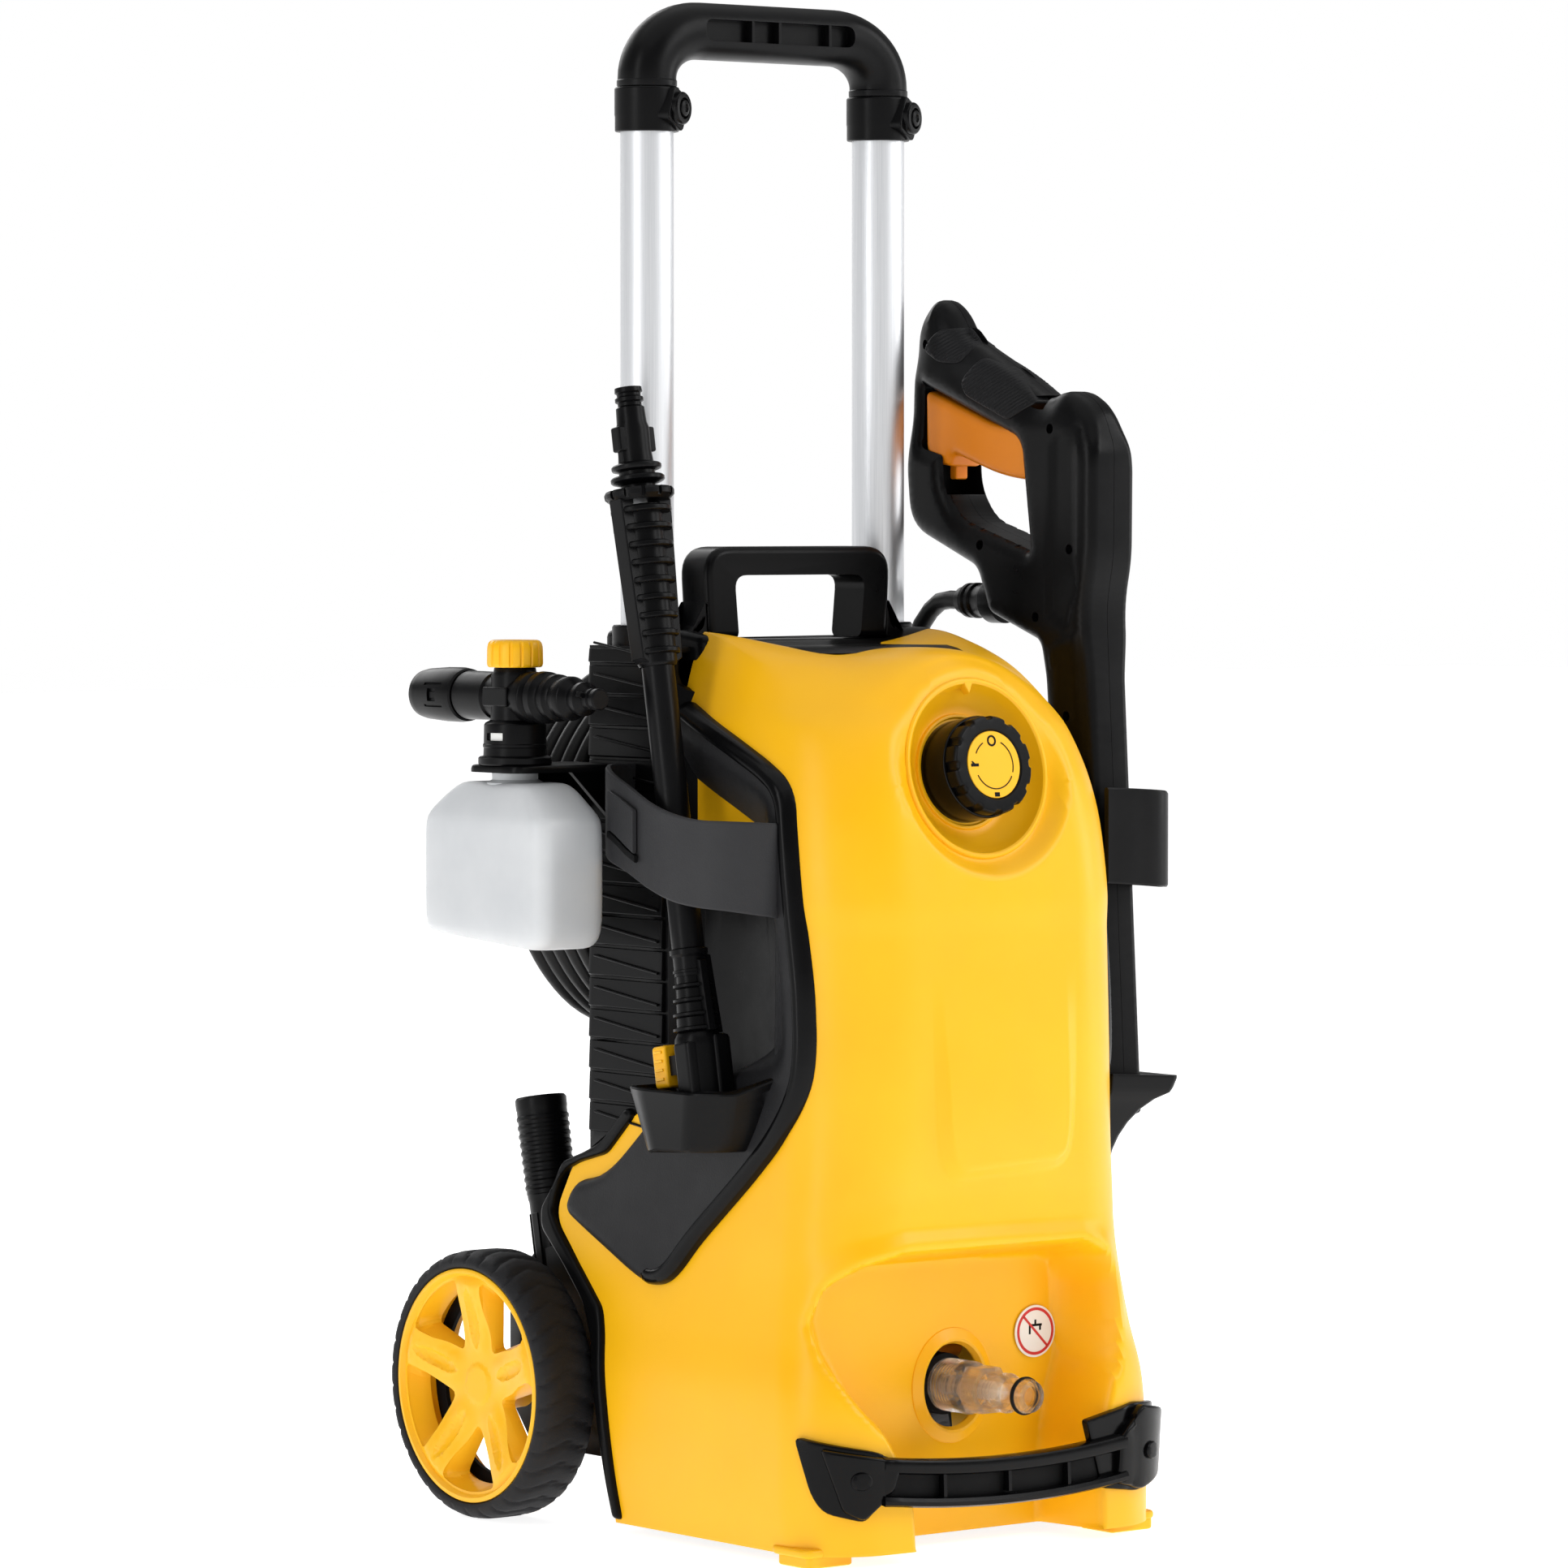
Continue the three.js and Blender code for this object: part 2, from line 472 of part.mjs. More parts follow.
const swash = turned([[0, SWASH_Z + 1], [30, SWASH_Z + 1], [30, SWASH_Z + 15], [0, SWASH_Z + 15]])
  .subtract(aim(rod(60, 0, 40), new THREE.Vector3(0.16, 0, -1), 0, 0, SWASH_Z + 5))
  .subtract(rod(SHAFT_R + GAP, SWASH_Z + 7.7, SWASH_Z + 60, 16));
piece("wobble_plate", motorHalf(swash), STEEL);

const PISTON = { r: 6, ring: 21 };
const pistonSpots = [0, 1, 2].map((i) => {
  const a = (i * 2 * Math.PI) / 3 + Math.PI / 6;
  return [PISTON.ring * Math.cos(a), PISTON.ring * Math.sin(a)];
});
function pumpHead() {
  let made = rod(PUMP.r, PUMP.z0, PUMP.z1);
  for (const [x, y] of pistonSpots) made = made.subtract(rod(PISTON.r + GAP, PUMP.z1 - 34, 400, 16).translate([x, y, 0]));
  return made
    .subtract(forward(rod(9 + GAP, PUMP.r - 14, 90, 20), INLET.z))
    .subtract(aim(rod(9 + GAP, PUMP.r - 14, 90, 20), X, 0, 0, INLET.z + 10));
}
piece("pump_head", motorHalf(pumpHead()), metal(0xb8babd, 0.45));
pistonSpots.forEach(([x, y], i) => {
  const top = SWASH_Z - 2;
  piece("piston_" + "abc"[i], motorHalf(rod(PISTON.r, PUMP.z1 - 30, top, 16).translate([x, y, 0])), STEEL);
});
piece("outlet_fitting", motorHalf(aim(pipe(9, 4, PUMP.r - 13, PUMP.r + 22, 20), X, 0, 0, INLET.z + 10)), BRASS);

// The water inlet: a threaded socket in the pump with a clear filter housing and a quick-connect nipple.
const inletY = MOTOR.y;
piece("inlet_fitting", forward(pipe(9, 5, PUMP.r - 13, 74, 20), INLET.z, inletY), BRASS);
const FILTER_A = 74 + GAP;
piece(
  "inlet_filter",
  forward(
    turned([[5, FILTER_A], [14, FILTER_A], [14, FILTER_A + 22], [10, FILTER_A + 27], [8.5, FILTER_A + 34], [8.5, FILTER_A + 46],
      [10.4, FILTER_A + 48], [10.4, FILTER_A + 53], [8.5, FILTER_A + 55], [8.5, FILTER_A + 69], [5.5, FILTER_A + 69], [5, FILTER_A + 40]], 20),
    INLET.z, inletY,
  ),
  CLEAR,
);

// ---------------------------------------------------------------- switch and knob
const SWITCH = { near: -14, far: -42, half: 17 };
piece(
  "switch_box",
  alongKnob(
    extruded("xy", [[-17, -17], [17, -17], [17, 17], [-17, 17]], SWITCH.far, SWITCH.near, 3)
      .subtract(rod(5 + GAP, SWITCH.near - 16, SWITCH.near + 4, 16)),
  ),
  GREY,
);
const KNOB_SCALLOPS = 10;
function knob() {
  const r = KNOB.r;
  let made = turned([[0, SWITCH.near - 14], [5, SWITCH.near - 14], [5, 0], [r - 1, 0], [r, 2], [r, KNOB.length - 9],
    [KNOB.frontR + 2, KNOB.length - 7], [KNOB.frontR + 1, KNOB.length - 2], [KNOB.frontR - 1, KNOB.length], [0, KNOB.length]], 30);
  made = made.subtract(rod(17 + GAP, KNOB.length - 1.5, KNOB.length + 5, 24));
  for (let i = 0; i < KNOB_SCALLOPS; i++) {
    const a = (i / KNOB_SCALLOPS) * 2 * Math.PI;
    const bite = rod(5, KNOB.length - 6, KNOB.length + 5, 8);
    made = made.subtract(bite.translate([(KNOB.frontR + 5) * Math.cos(a), (KNOB.frontR + 5) * Math.sin(a), 0]));
  }
  return made;
}
piece("knob", alongKnob(knob()), BLACK);
piece("knob_label", alongKnob(rod(17, KNOB.length - 1.5 + GAP, KNOB.length + 0.4, 24)), YELLOW);
piece(
  "power_gland",
  aim(turned([[3.5, 0], [GLAND.r, 0], [GLAND.r, 10 + GAP], [11, 10 + GAP], [11, 14], [6, 24], [3.5, 24]], 16),
    Y, GLAND.x, REAR_Y - 10, GLAND.z),
  BLACK,
);

// ---------------------------------------------------------------- telescopic trolley handle
const POLE_UP = POLE.top - POLE.bottom;
for (const [sign, side] of [[-1, "left"], [1, "right"]]) {
  const at = group(sign * POLE.x, POLE.y, 0);
  const sleeve = turned([[0, SLEEVE.bottom], [sleeveR, SLEEVE.bottom], [sleeveR, DECK_Z - 0.1], [sleeveR - SLEEVE.wall, DECK_Z - 0.1],
    [sleeveR - SLEEVE.wall, SLEEVE.bottom + 5], [0, SLEEVE.bottom + 5]]);
  piece("sleeve_" + side, sleeve.subtract(rod(5, 0, 80, 12)), BLACK, at);
  piece("pole_" + side, pipe(POLE.r, POLE.r - POLE.wall, POLE.bottom, POLE.bottom + POLE_UP), ALUMINIUM, at);
  const boss = aim(rod(7, POLE.r + 0.5, POLE.r + 7.5, 16), new THREE.Vector3(0.45, -1, 0), 0, 0, (COLLAR.bottom + COLLAR.top) / 2);
  const collar = pipe(COLLAR.r, POLE.r + GAP, COLLAR.bottom, COLLAR.top - GAP);
  piece("collar_" + side, union(collar, boss), BLACK, at);
}
function gripBar() {
  const up = GRIP.top - GRIP.r;
  const arc = GRIP.bend - GRIP.r;
  const start = COLLAR.top + GAP;
  const points = [];
  for (let i = 0; i <= 5; i++) {
    const a = (i / 5) * (Math.PI / 2);
    points.push([-POLE.x + arc * (1 - Math.cos(a)), POLE.y, start + 4 + (up - start - 4) * Math.sin(a)]);
  }
  const path = [[-POLE.x, POLE.y, start], ...points];
  const across = [...path, ...path.map(([x, y, z]) => [-x, y, z]).reverse()];
  const channel = box(-45, 45, POLE.y - GRIP.r - 2, POLE.y - GRIP.r + 4, up - 5, up + 5);
  return tube(across, GRIP.r, 16, 24).subtract(channel);
}
piece("grip", gripBar(), BLACK);

// ---------------------------------------------------------------- holders on the sides
function lanceStrap() {
  const [z0, z1] = [332, 396];
  const at = (out, y, r) => [-HALF_WIDTH - out, y, r];
  const out = [at(GAP, -127, 0), at(12, -120), at(36, -88), at(40, -70), at(38, -52), at(27, 4), at(GAP, 14, 0)];
  const inn = [at(-10, -121, 0), at(11, -115), at(32.5, -86), at(36.5, -70), at(34.5, -52), at(23.5, -1), at(-10, -1, 0)];
  const band = extruded("xy", out, z0, z1, 8).subtract(extruded("xy", inn, z0 - 5, z1 + 5, 8));
  const slope = extruded("yz", [[-140, z1 + 1], [-140, z1 - 14], [-60, z1 - 8], [40, z1 + 1]], -160, 0);
  return band.subtract(slope);
}
piece("lance_strap", lanceStrap(), GREY);

const lanceTurn = new THREE.Vector3(0, Math.sin(LANCE.tilt), Math.cos(LANCE.tilt));
function lanceCup() {
  const at = (out, y, r) => [-HALF_WIDTH - out, y, r];
  const plan = [at(2.6, -106, 0), at(26, -96), at(39, -82), at(39, -50), at(28, -42), at(2.6, -42, 0)];
  return extruded("xy", plan, CUP.z0, CUP.z1, 4).subtract(aim(rod(14, -1, 60), lanceTurn, LANCE.x, LANCE.y, LANCE.z));
}
piece("lance_cup", lanceCup(), GREY);

const GUN_TILT = THREE.MathUtils.degToRad(4);
function gunStrap() {
  const [z0, z1] = [334, 384];
  const [x, front, rear] = [HALF_WIDTH + 50, -134, -60];
  const out = [[HALF_WIDTH + GAP, front, 0], [x - 6, front], [x, front + 14], [x, rear - 8], [x - 8, rear], [RECESS_X + 4, rear, 0],
    [RECESS_X + 4, rear - 4, 0], [x - 10, rear - 4], [x - 4, rear - 10], [x - 4, front + 15], [x - 7, front + 4], [HALF_WIDTH + GAP, front + 4, 0]];
  return extruded("xy", out, z0, z1, 2);
}
piece("gun_strap", gunStrap(), GREY);
function gunCup() {
  const x1 = GUN.x + 23;
  const body = [[HALF_WIDTH + 3.8, -134, 0], [x1, -134], [x1, -72], [HALF_WIDTH + 3.8, -72, 0]];
  const pocket = [[GUN.x - 19, -128], [x1 - 3, -128], [x1 - 3, -78], [GUN.x - 19, -78]];
  const slope = extruded("xz", [[HALF_WIDTH + 12, 180, 0], [x1 + 6, 222, 0], [x1 + 6, 180, 0]], -150, -60);
  return extruded("xy", body, 189, 236, 3).subtract(extruded("xy", pocket, 210, 250, 3)).subtract(slope);
}
piece("gun_cup", gunCup(), GREY);

// A fork that the foam bottle's neck slides into from the side.
function bottleFork() {
  const z = BOTTLE.top + 4.5;
  const far = FOAM.x - 14;
  const slot = FOAM.neckR;
  const plan = [[-HALF_WIDTH - GAP, FOAM.y - 22, 0], [far, FOAM.y - 20], [far, FOAM.y + 20], [-HALF_WIDTH - GAP, FOAM.y + 3, 0]];
  const plate = extruded("xy", plan, z, z + 4, 3);
  const mouth = union(rod(slot, z - 5, z + 9), box(-60, 0, -slot, slot, z - 5, z + 9)).translate([FOAM.x, FOAM.y, 0]);
  const web = extruded("xz", [[-HALF_WIDTH - GAP, z + 1, 0], [-HALF_WIDTH - 32, z + 1, 0], [-HALF_WIDTH - GAP, z - 30, 0]], FOAM.y - 20, FOAM.y - 16);
  return union(plate.subtract(mouth), web);
}
piece("bottle_fork", bottleFork(), BLACK);

// ---------------------------------------------------------------- hose and its drum
const backward = (made) => aim(made, Y, 0, 0, HOSE.z);
const coilIn = HANGER.r + 1;
const coilOut = coilIn + 2 * HOSE.r + HOSE.pitch * (HOSE.layers - 1) + 1;
const coilEnd = HOSE.y0 + HOSE.pitch * (HOSE.across - 1) + 2 * HOSE.r + 2;
function hoseHanger() {
  const y1 = coilEnd + 4.5;
  const r = HANGER.r;
  const arms = [0, 90, 180, 270].map((a) =>
    union(box(r - 6, r - 1.5, -13, 13, REAR_Y + GAP, y1), box(r - 6, r + 30, -13, 13, y1 - 4 + GAP, y1)).rotate([0, 0, a]),
  );
  return backward(union(pipe(r - 1, r - 24, REAR_Y + GAP, REAR_Y + 5, 32), ...arms));
}
piece("hose_hanger", hoseHanger(), BLACK);
piece(
  "hose_coil",
  backward(turned([[coilIn, HOSE.y0 + 4], [coilIn + 4, HOSE.y0], [coilOut - 4, HOSE.y0], [coilOut, HOSE.y0 + 4], [coilOut, coilEnd - 4],
    [coilOut - 4, coilEnd], [coilIn + 4, coilEnd], [coilIn, coilEnd - 4]], 32)),
  RUBBER,
);
// The elbow that the hose leaves the housing by, in the space between the wall and the coil.
const OUTLET = { x: -60, z: HOSE.z - 78, y: REAR_Y + 7 };
piece(
  "hose_outlet",
  union(box(-8.5, 8.5, REAR_Y + GAP - OUTLET.y, 6.4, -8.5, 8.5), aim(turned([[0, 4], [6.3, 4], [5.6, 20], [0, 20]], 12),
    new THREE.Vector3(0.79, 0, -0.61), 0, 0, 0)).translate([OUTLET.x, OUTLET.y, OUTLET.z]),
  BLACK,
);

// ---------------------------------------------------------------- lance
const lance = group(LANCE.x, LANCE.y, LANCE.z, -LANCE.tilt);
const LANCE_TUBE_R = 8.5;
const BUTTON = { z0: 35, z1: 55 };
const LANCE_PART = { head: 56, cone: 86, grip: 246, flange: 336, end: 392 };
piece(
  "lance_head",
  union(
    turned([[0, 0], [11, 0], [12.5, 3], [12.5, LANCE_PART.head], [10, LANCE_PART.head + 2], [11, LANCE_PART.head + 8],
      [9.5, LANCE_PART.cone - GAP], [0, LANCE_PART.cone - GAP]], 20),
    box(-6.5, 6.5, 0, 17, BUTTON.z0 - 1, BUTTON.z1 + 3),
  ).subtract(box(-4.4, 4.4, 13.5, 20, BUTTON.z0 + 5.6, BUTTON.z1 - 5.6)),
  BLACK, lance,
);
piece("lance_button", box(-6.5, 6.5, 20, 31, BUTTON.z0, BUTTON.z1).add(box(-4, 4, 17.3, 21, BUTTON.z0 + 6, BUTTON.z1 - 6)), YELLOW, lance);
piece("lance_tube", rod(LANCE_TUBE_R, LANCE_PART.cone, LANCE_PART.grip - GAP, 16), BLACK, lance);
function lanceGrip() {
  const { grip, flange } = LANCE_PART;
  const profile = [[0, grip], [11, grip], [12.5, grip + 10]];
  for (let i = 0; i < 5; i++) profile.push([14 + i * 0.4, grip + 14 + i * 14], [12 + i * 0.5, grip + 21 + i * 14]);
  profile.push([18, flange - 2], [18, flange + 2], [0, flange + 2]);
  return turned(profile, 20);
}
piece("lance_grip", lanceGrip(), BLACK, lance);
piece(
  "lance_connector",
  turned([[0, LANCE_PART.flange + 2 + GAP], [9, LANCE_PART.flange + 2 + GAP], [14, LANCE_PART.flange + 8], [14, LANCE_PART.flange + 12],
    [9, LANCE_PART.flange + 14], [9, LANCE_PART.flange + 36], [6.5, LANCE_PART.flange + 38], [6.5, LANCE_PART.end], [0, LANCE_PART.end]], 20)
    .add(box(-11.5, 11.5, -3, 3, LANCE_PART.flange + 24, LANCE_PART.flange + 34)),
  BLACK, lance,
);

// ---------------------------------------------------------------- spray gun, seen from the side: [y, z] corners
const GUN_OUTLINE = [
  [-120, 214, 3], [-104, 483, 12], [-109, 507], [-109, 566], [-100, 594], [-80, 598], [-70, 594], [-33, 618], [2, 634], [19, 648],
  [34, 646], [43, 628], [45, 600], [45, 560], [41, 524], [-17, 502], [-23, 484], [-29, 474], [-66, 462], [-68, 446, 3], [-88, 214, 3],
];
const GUARD_OPENING = [[-58, 511], [0, 528], [12, 545], [14, 562], [32, 568], [33, 602], [-52, 566]];
const TRIGGER_SLOT = [[-68, 592], [-68, 552], [-58, 541], [36, 541], [37, 622], [-40, 592]];
const TRIGGER = [[-62, 579], [-62, 562], [-53, 550], [-30, 551], [10, 563], [12, 557], [27, 559], [31, 566], [31, 597], [-42, 572]];
const TRIGGER_PIVOT = { y: -55, z: 571, r: 3 };
function gunShell() {
  const half = extruded("yz", GUN_OUTLINE, 0.15 - GUN.half, GUN.half, 7, { bevel: GUN.bevel, steps: 2 });
  const slot = extruded("yz", TRIGGER_SLOT, -9, 9, 2);
  const pin = aim(rod(TRIGGER_PIVOT.r, -10, 10, 12), X, 0, TRIGGER_PIVOT.y, TRIGGER_PIVOT.z);
  return half
    .subtract(extruded("yz", GUARD_OPENING, -40, 40, 7))
    .subtract(slot)
    .add(pin)
    .intersect(box(0.15, 40, -200, 200, 0, 700));
}
const gun = group(GUN.x, 0, 0);
const shell = gunShell();
piece("gun_shell_right", shell, BLACK, gun);
piece("gun_shell_left", mirrored(shell), BLACK, gun);
piece(
  "gun_trigger",
  extruded("yz", TRIGGER, -8, 8, 3)
    .subtract(aim(rod(TRIGGER_PIVOT.r + GAP, -20, 20, 12), X, 0, TRIGGER_PIVOT.y, TRIGGER_PIVOT.z))
    .subtract(box(-4.5, 4.5, 4, 24, 540, 572)),
  plastic(0xf7a41e, 0.4), gun,
);
piece("trigger_lock", extruded("yz", [[14.5, 563], [14.5, 549], [20.5, 549], [20.5, 563]], -4, 4, 1.5), plastic(0xf7a41e, 0.4), gun);
const GUN_INLET_Z = 484;
piece(
  "gun_inlet",
  aim(turned([[0, 0], [11, 0], [11, 4], [8.5, 6], [8.5, 16], [10, 17], [10, 24], [7, 30], [0, 30]], 16), Y, 0, -16, GUN_INLET_Z),
  BLACK, gun,
);

// ---------------------------------------------------------------- foam bottle
const foam = group(FOAM.x, FOAM.y, 0);
function bottle() {
  const { x, y, bottom, top } = BOTTLE;
  const plan = (w, d) => [[-w, -d], [w, -d], [w, d], [-w, d]];
  const body = extruded("xy", plan(x / 2, y / 2), bottom, top - 8, 12, { bevel: 5 });
  const shoulder = rod(18, top - 14, top - 2, 20);
  const neck = rod(FOAM.neckR - 1.5, top - 4, top + 15, 20);
  const inside = union(extruded("xy", plan(x / 2 - 2.5, y / 2 - 2.5), bottom + 2.5, top - 10.5, 10, { bevel: 3 }),
    rod(FOAM.neckR - 4, top - 16, top + 20, 16));
  return union(body, shoulder, neck).subtract(inside);
}
piece("foam_bottle", bottle(), MILKY, foam);
const bothRound = (made) => aim(made, Y, 0, 0, FOAM.axisZ);
const COLLAR_Z = BOTTLE.top + 9;
function foamBody() {
  const cap = turned([[0, COLLAR_Z], [FOAM.neckR + 4, COLLAR_Z], [FOAM.neckR + 4, COLLAR_Z + 15], [FOAM.neckR - 1, COLLAR_Z + 17],
    [FOAM.neckR - 1, FOAM.axisZ], [0, FOAM.axisZ]], 20);
  const head = turned([[0, -74], [6, -74], [6, -64], [9, -62], [9, -52], [12, -50], [12, -26], [13, -24], [13, 40], [0, 40]], 20);
  const top = rod(11, FOAM.axisZ, FOAM.axisZ + 15, 16);
  return union(cap.subtract(rod(FOAM.neckR - 1.5 + GAP, COLLAR_Z - 2, BOTTLE.top + 15 + GAP, 20)), bothRound(head), top);
}
piece("foam_body", foamBody(), BLACK, foam);
function foamKnob() {
  const z0 = FOAM.axisZ + 15 + GAP;
  return turned([[0, z0], [13, z0], [14, z0 + 1.5], [14, z0 + 12], [12, z0 + 14], [0, z0 + 14]], 20);
}
piece("foam_knob", foamKnob(), YELLOW, foam);
piece("foam_nozzle", bothRound(turned([[0, 40 + GAP], [13.5, 40 + GAP], [14.5, 44], [14, 76], [12.5, 80], [0, 80]], 20)), BLACK, foam);

// ---------------------------------------------------------------- turbo nozzle
piece(
  "turbo_nozzle",
  alongTurbo(turned([[0, 2], [TURBO.r - 2, 2], [TURBO.r, 5], [TURBO.r, 56], [13, 58], [14, 106], [12.5, 110], [0, 110]], 20)),
  BLACK,
);

// The free end of the hose, from the coil round behind the right pole to the gun.
const RISE_X = coilIn + HOSE.r + HOSE.pitch;
const HOSE_PATH = [
  [RISE_X, HOSE.y0 - 7, HOSE.z + 22], [RISE_X + 3, HOSE.y0 - 8, HOSE.z + 50], [GUN.x - 7, HOSE.y0 - 9, HOSE.z + 92],
  [GUN.x - 1, HOSE.y0 - 17, GUN_INLET_Z - 13], [GUN.x, HOSE.y0 - 31, GUN_INLET_Z - 1], [GUN.x, 15.5, GUN_INLET_Z], [GUN.x, 14.4, GUN_INLET_Z],
];
piece("hose_to_gun", tube(HOSE_PATH, HOSE.r, 10, 12), RUBBER);

// ---------------------------------------------------------------- shift to the bottom centre of the bounding box
const CORDS = ["hose_coil", "hose_to_gun"];
model.updateMatrixWorld(true);
const bounds = new THREE.Box3();
model.traverse((mesh) => {
  if (mesh.isMesh && !CORDS.includes(mesh.name)) bounds.union(new THREE.Box3().setFromObject(mesh, true));
});
const middle = bounds.getCenter(new THREE.Vector3());
model.position.set(-middle.x, -middle.y, -bounds.min.z);
export default model;
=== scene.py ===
"""Looks of a wheeled upright pressure washer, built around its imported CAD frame."""
import math

import bmesh
import bpy
import numpy as np
from mathutils import Matrix, Vector
from mathutils.geometry import delaunay_2d_cdt


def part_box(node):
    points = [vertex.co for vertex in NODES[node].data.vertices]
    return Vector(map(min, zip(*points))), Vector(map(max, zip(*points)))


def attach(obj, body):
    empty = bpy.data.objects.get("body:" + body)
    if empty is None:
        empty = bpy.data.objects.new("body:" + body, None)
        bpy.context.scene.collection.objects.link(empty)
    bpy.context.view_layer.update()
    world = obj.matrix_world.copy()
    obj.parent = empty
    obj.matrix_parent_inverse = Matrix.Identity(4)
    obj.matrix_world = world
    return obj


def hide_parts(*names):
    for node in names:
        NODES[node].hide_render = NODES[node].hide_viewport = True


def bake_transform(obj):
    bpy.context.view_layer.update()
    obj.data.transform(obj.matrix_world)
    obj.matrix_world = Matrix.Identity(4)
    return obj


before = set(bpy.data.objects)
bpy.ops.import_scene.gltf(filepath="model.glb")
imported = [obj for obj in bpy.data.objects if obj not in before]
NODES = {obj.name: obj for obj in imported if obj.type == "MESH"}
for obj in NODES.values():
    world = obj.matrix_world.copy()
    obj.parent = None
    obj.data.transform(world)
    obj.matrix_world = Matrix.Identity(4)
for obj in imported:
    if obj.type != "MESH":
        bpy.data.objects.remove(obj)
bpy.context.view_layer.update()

scene = bpy.context.scene

# ------------------------------------------------------------------ frames
# Shapes are written in millimetres in the design frame: x = 0 is the body's mid-plane, z = 0 the floor
# and y = 29 the centres of the two poles. The origin of that frame is found from the poles themselves.
POLE_X, POLE_Y, POLE_R = 78.0, 29.0, 14.0
_left, _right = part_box("pole_left"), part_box("pole_right")
ORIGIN = Vector((
    (_left[0].x + _right[1].x) / 2,
    (_left[0].y + _left[1].y) / 2 - POLE_Y / 1000,
    0.0,
))


def place(points):
    """Design millimetres to metres in the row frame."""
    return np.asarray(points, float).reshape(-1, 3) / 1000 + np.array(ORIGIN)


# ------------------------------------------------------------------ shapes
# A shape is (points, faces): an (n, 3) array in millimetres, and tuples of indices.
def shape(points, faces):
    return np.asarray(points, float).reshape(-1, 3), [tuple(f) for f in faces]


def join(*shapes):
    points, faces, base = [], [], 0
    for p, f in shapes:
        points.append(p)
        faces += [tuple(i + base for i in face) for face in f]
        base += len(p)
    return np.vstack(points), faces


def moved(s, x=0.0, y=0.0, z=0.0):
    return s[0] + np.array([x, y, z]), s[1]


def turn(s, axis, degrees):
    m = np.array(Matrix.Rotation(math.radians(degrees), 3, axis))
    return s[0] @ m.T, s[1]


def aim(s, direction, x=0.0, y=0.0, z=0.0):
    """Turns the shape's +Z axis to a direction and moves it."""
    m = np.array(Vector((0, 0, 1)).rotation_difference(Vector(direction)).to_matrix())
    return s[0] @ m.T + np.array([x, y, z]), s[1]


def flip_x(s):
    return s[0] * np.array([-1, 1, 1]), [tuple(reversed(f)) for f in s[1]]


def rounded(corners, radius, steps=4):
    """A polygon with its corners rounded to a radius, which a corner's third entry may override."""
    out = []
    n = len(corners)
    for i, c in enumerate(corners):
        here = np.array(c[:2], float)
        back = np.array(corners[i - 1][:2], float) - here
        on = np.array(corners[(i + 1) % n][:2], float) - here
        lb, lo = np.linalg.norm(back), np.linalg.norm(on)
        r = min(c[2] if len(c) > 2 else radius, lb * 0.48, lo * 0.48)
        if r < 0.05:
            out.append(here)
            continue
        a, b = here + back / lb * r, here + on / lo * r
        for k in range(steps + 1):
            t = k / steps
            out.append(a * (1 - t) ** 2 + here * 2 * t * (1 - t) + b * t * t)
    return np.array(out)


def loft(rings, cap=True, closed=True):
    """A skin over rings of equal length."""
    n, m = len(rings[0]), len(rings)
    faces = []
    for k in range(m - 1):
        for i in range(n if closed else n - 1):
            j = (i + 1) % n
            faces.append((k * n + i, k * n + j, (k + 1) * n + j, (k + 1) * n + i))
    if cap:
        faces.append(tuple(reversed(range(n))))
        faces.append(tuple(range((m - 1) * n, m * n)))
    return shape(np.vstack(rings), faces)


def prism(plane, outline, a, b, edge=0.0, steps=2):
    """An outline in a plane ("xy", "yz" or "xz") between two levels of the third axis, with soft edges."""
    o = np.asarray(outline, float)[:, :2]
    layers = [(a, 0.0), (b, 0.0)]
    if edge:
        quarter = [math.pi / 2 * k / steps for k in range(steps + 1)]
        layers = [(a + edge * (1 - math.cos(t)), edge * (1 - math.sin(t))) for t in quarter]
        layers += [(b - (level - a), inset) for level, inset in reversed(layers)]
    rings = []
    for level, inset in layers:
        q = offset(o, -inset) if inset else o
        level = np.full(len(q), level)
        u, v = q[:, 0], q[:, 1]
        rings.append(np.column_stack({"xy": (u, v, level), "yz": (level, u, v), "xz": (u, level, v)}[plane]))
    return loft(rings)


def offset(o, d):
    """A closed outline moved outwards by d, whichever way round it runs."""
    area = 0.5 * np.sum(o[:, 0] * np.roll(o[:, 1], -1) - np.roll(o[:, 0], -1) * o[:, 1])
    e = np.roll(o, -1, 0) - o
    length = np.linalg.norm(e, axis=1, keepdims=True)
    e = e / np.where(length < 1e-9, 1, length)
    normal = np.column_stack([e[:, 1], -e[:, 0]]) * (1 if area > 0 else -1)
    mean = normal + np.roll(normal, 1, 0)
    mean /= np.maximum(np.sum(mean * mean, 1, keepdims=True) / 2, 0.7)
    return o + mean * d


def lathe(profile, n=48, start=0.0):
    """A solid of revolution about +Z from (radius, height) pairs; a profile off the axis makes a closed ring."""
    prof = [tuple(p) for p in profile]
    a = start + np.arange(n) * 2 * math.pi / n
    ca, sa = np.cos(a), np.sin(a)
    points, index = [], []
    for r, z in prof:
        if r < 1e-6:
            index.append([len(points)] * n)
            points.append((0, 0, z))
        else:
            index.append(list(range(len(points), len(points) + n)))
            points += list(zip(r * ca, r * sa, np.full(n, z)))
    faces = []
    solid = prof[0][0] < 1e-6 and prof[-1][0] < 1e-6
    pairs = list(zip(range(len(prof) - 1), range(1, len(prof))))
    if not solid:
        pairs.append((len(prof) - 1, 0))
    for k, l in pairs:
        for i in range(n):
            j = (i + 1) % n
            f = []
            for v in (index[k][i], index[k][j], index[l][j], index[l][i]):
                if v not in f:
                    f.append(v)
            if len(f) > 2:
                faces.append(f)
    return shape(points, faces)


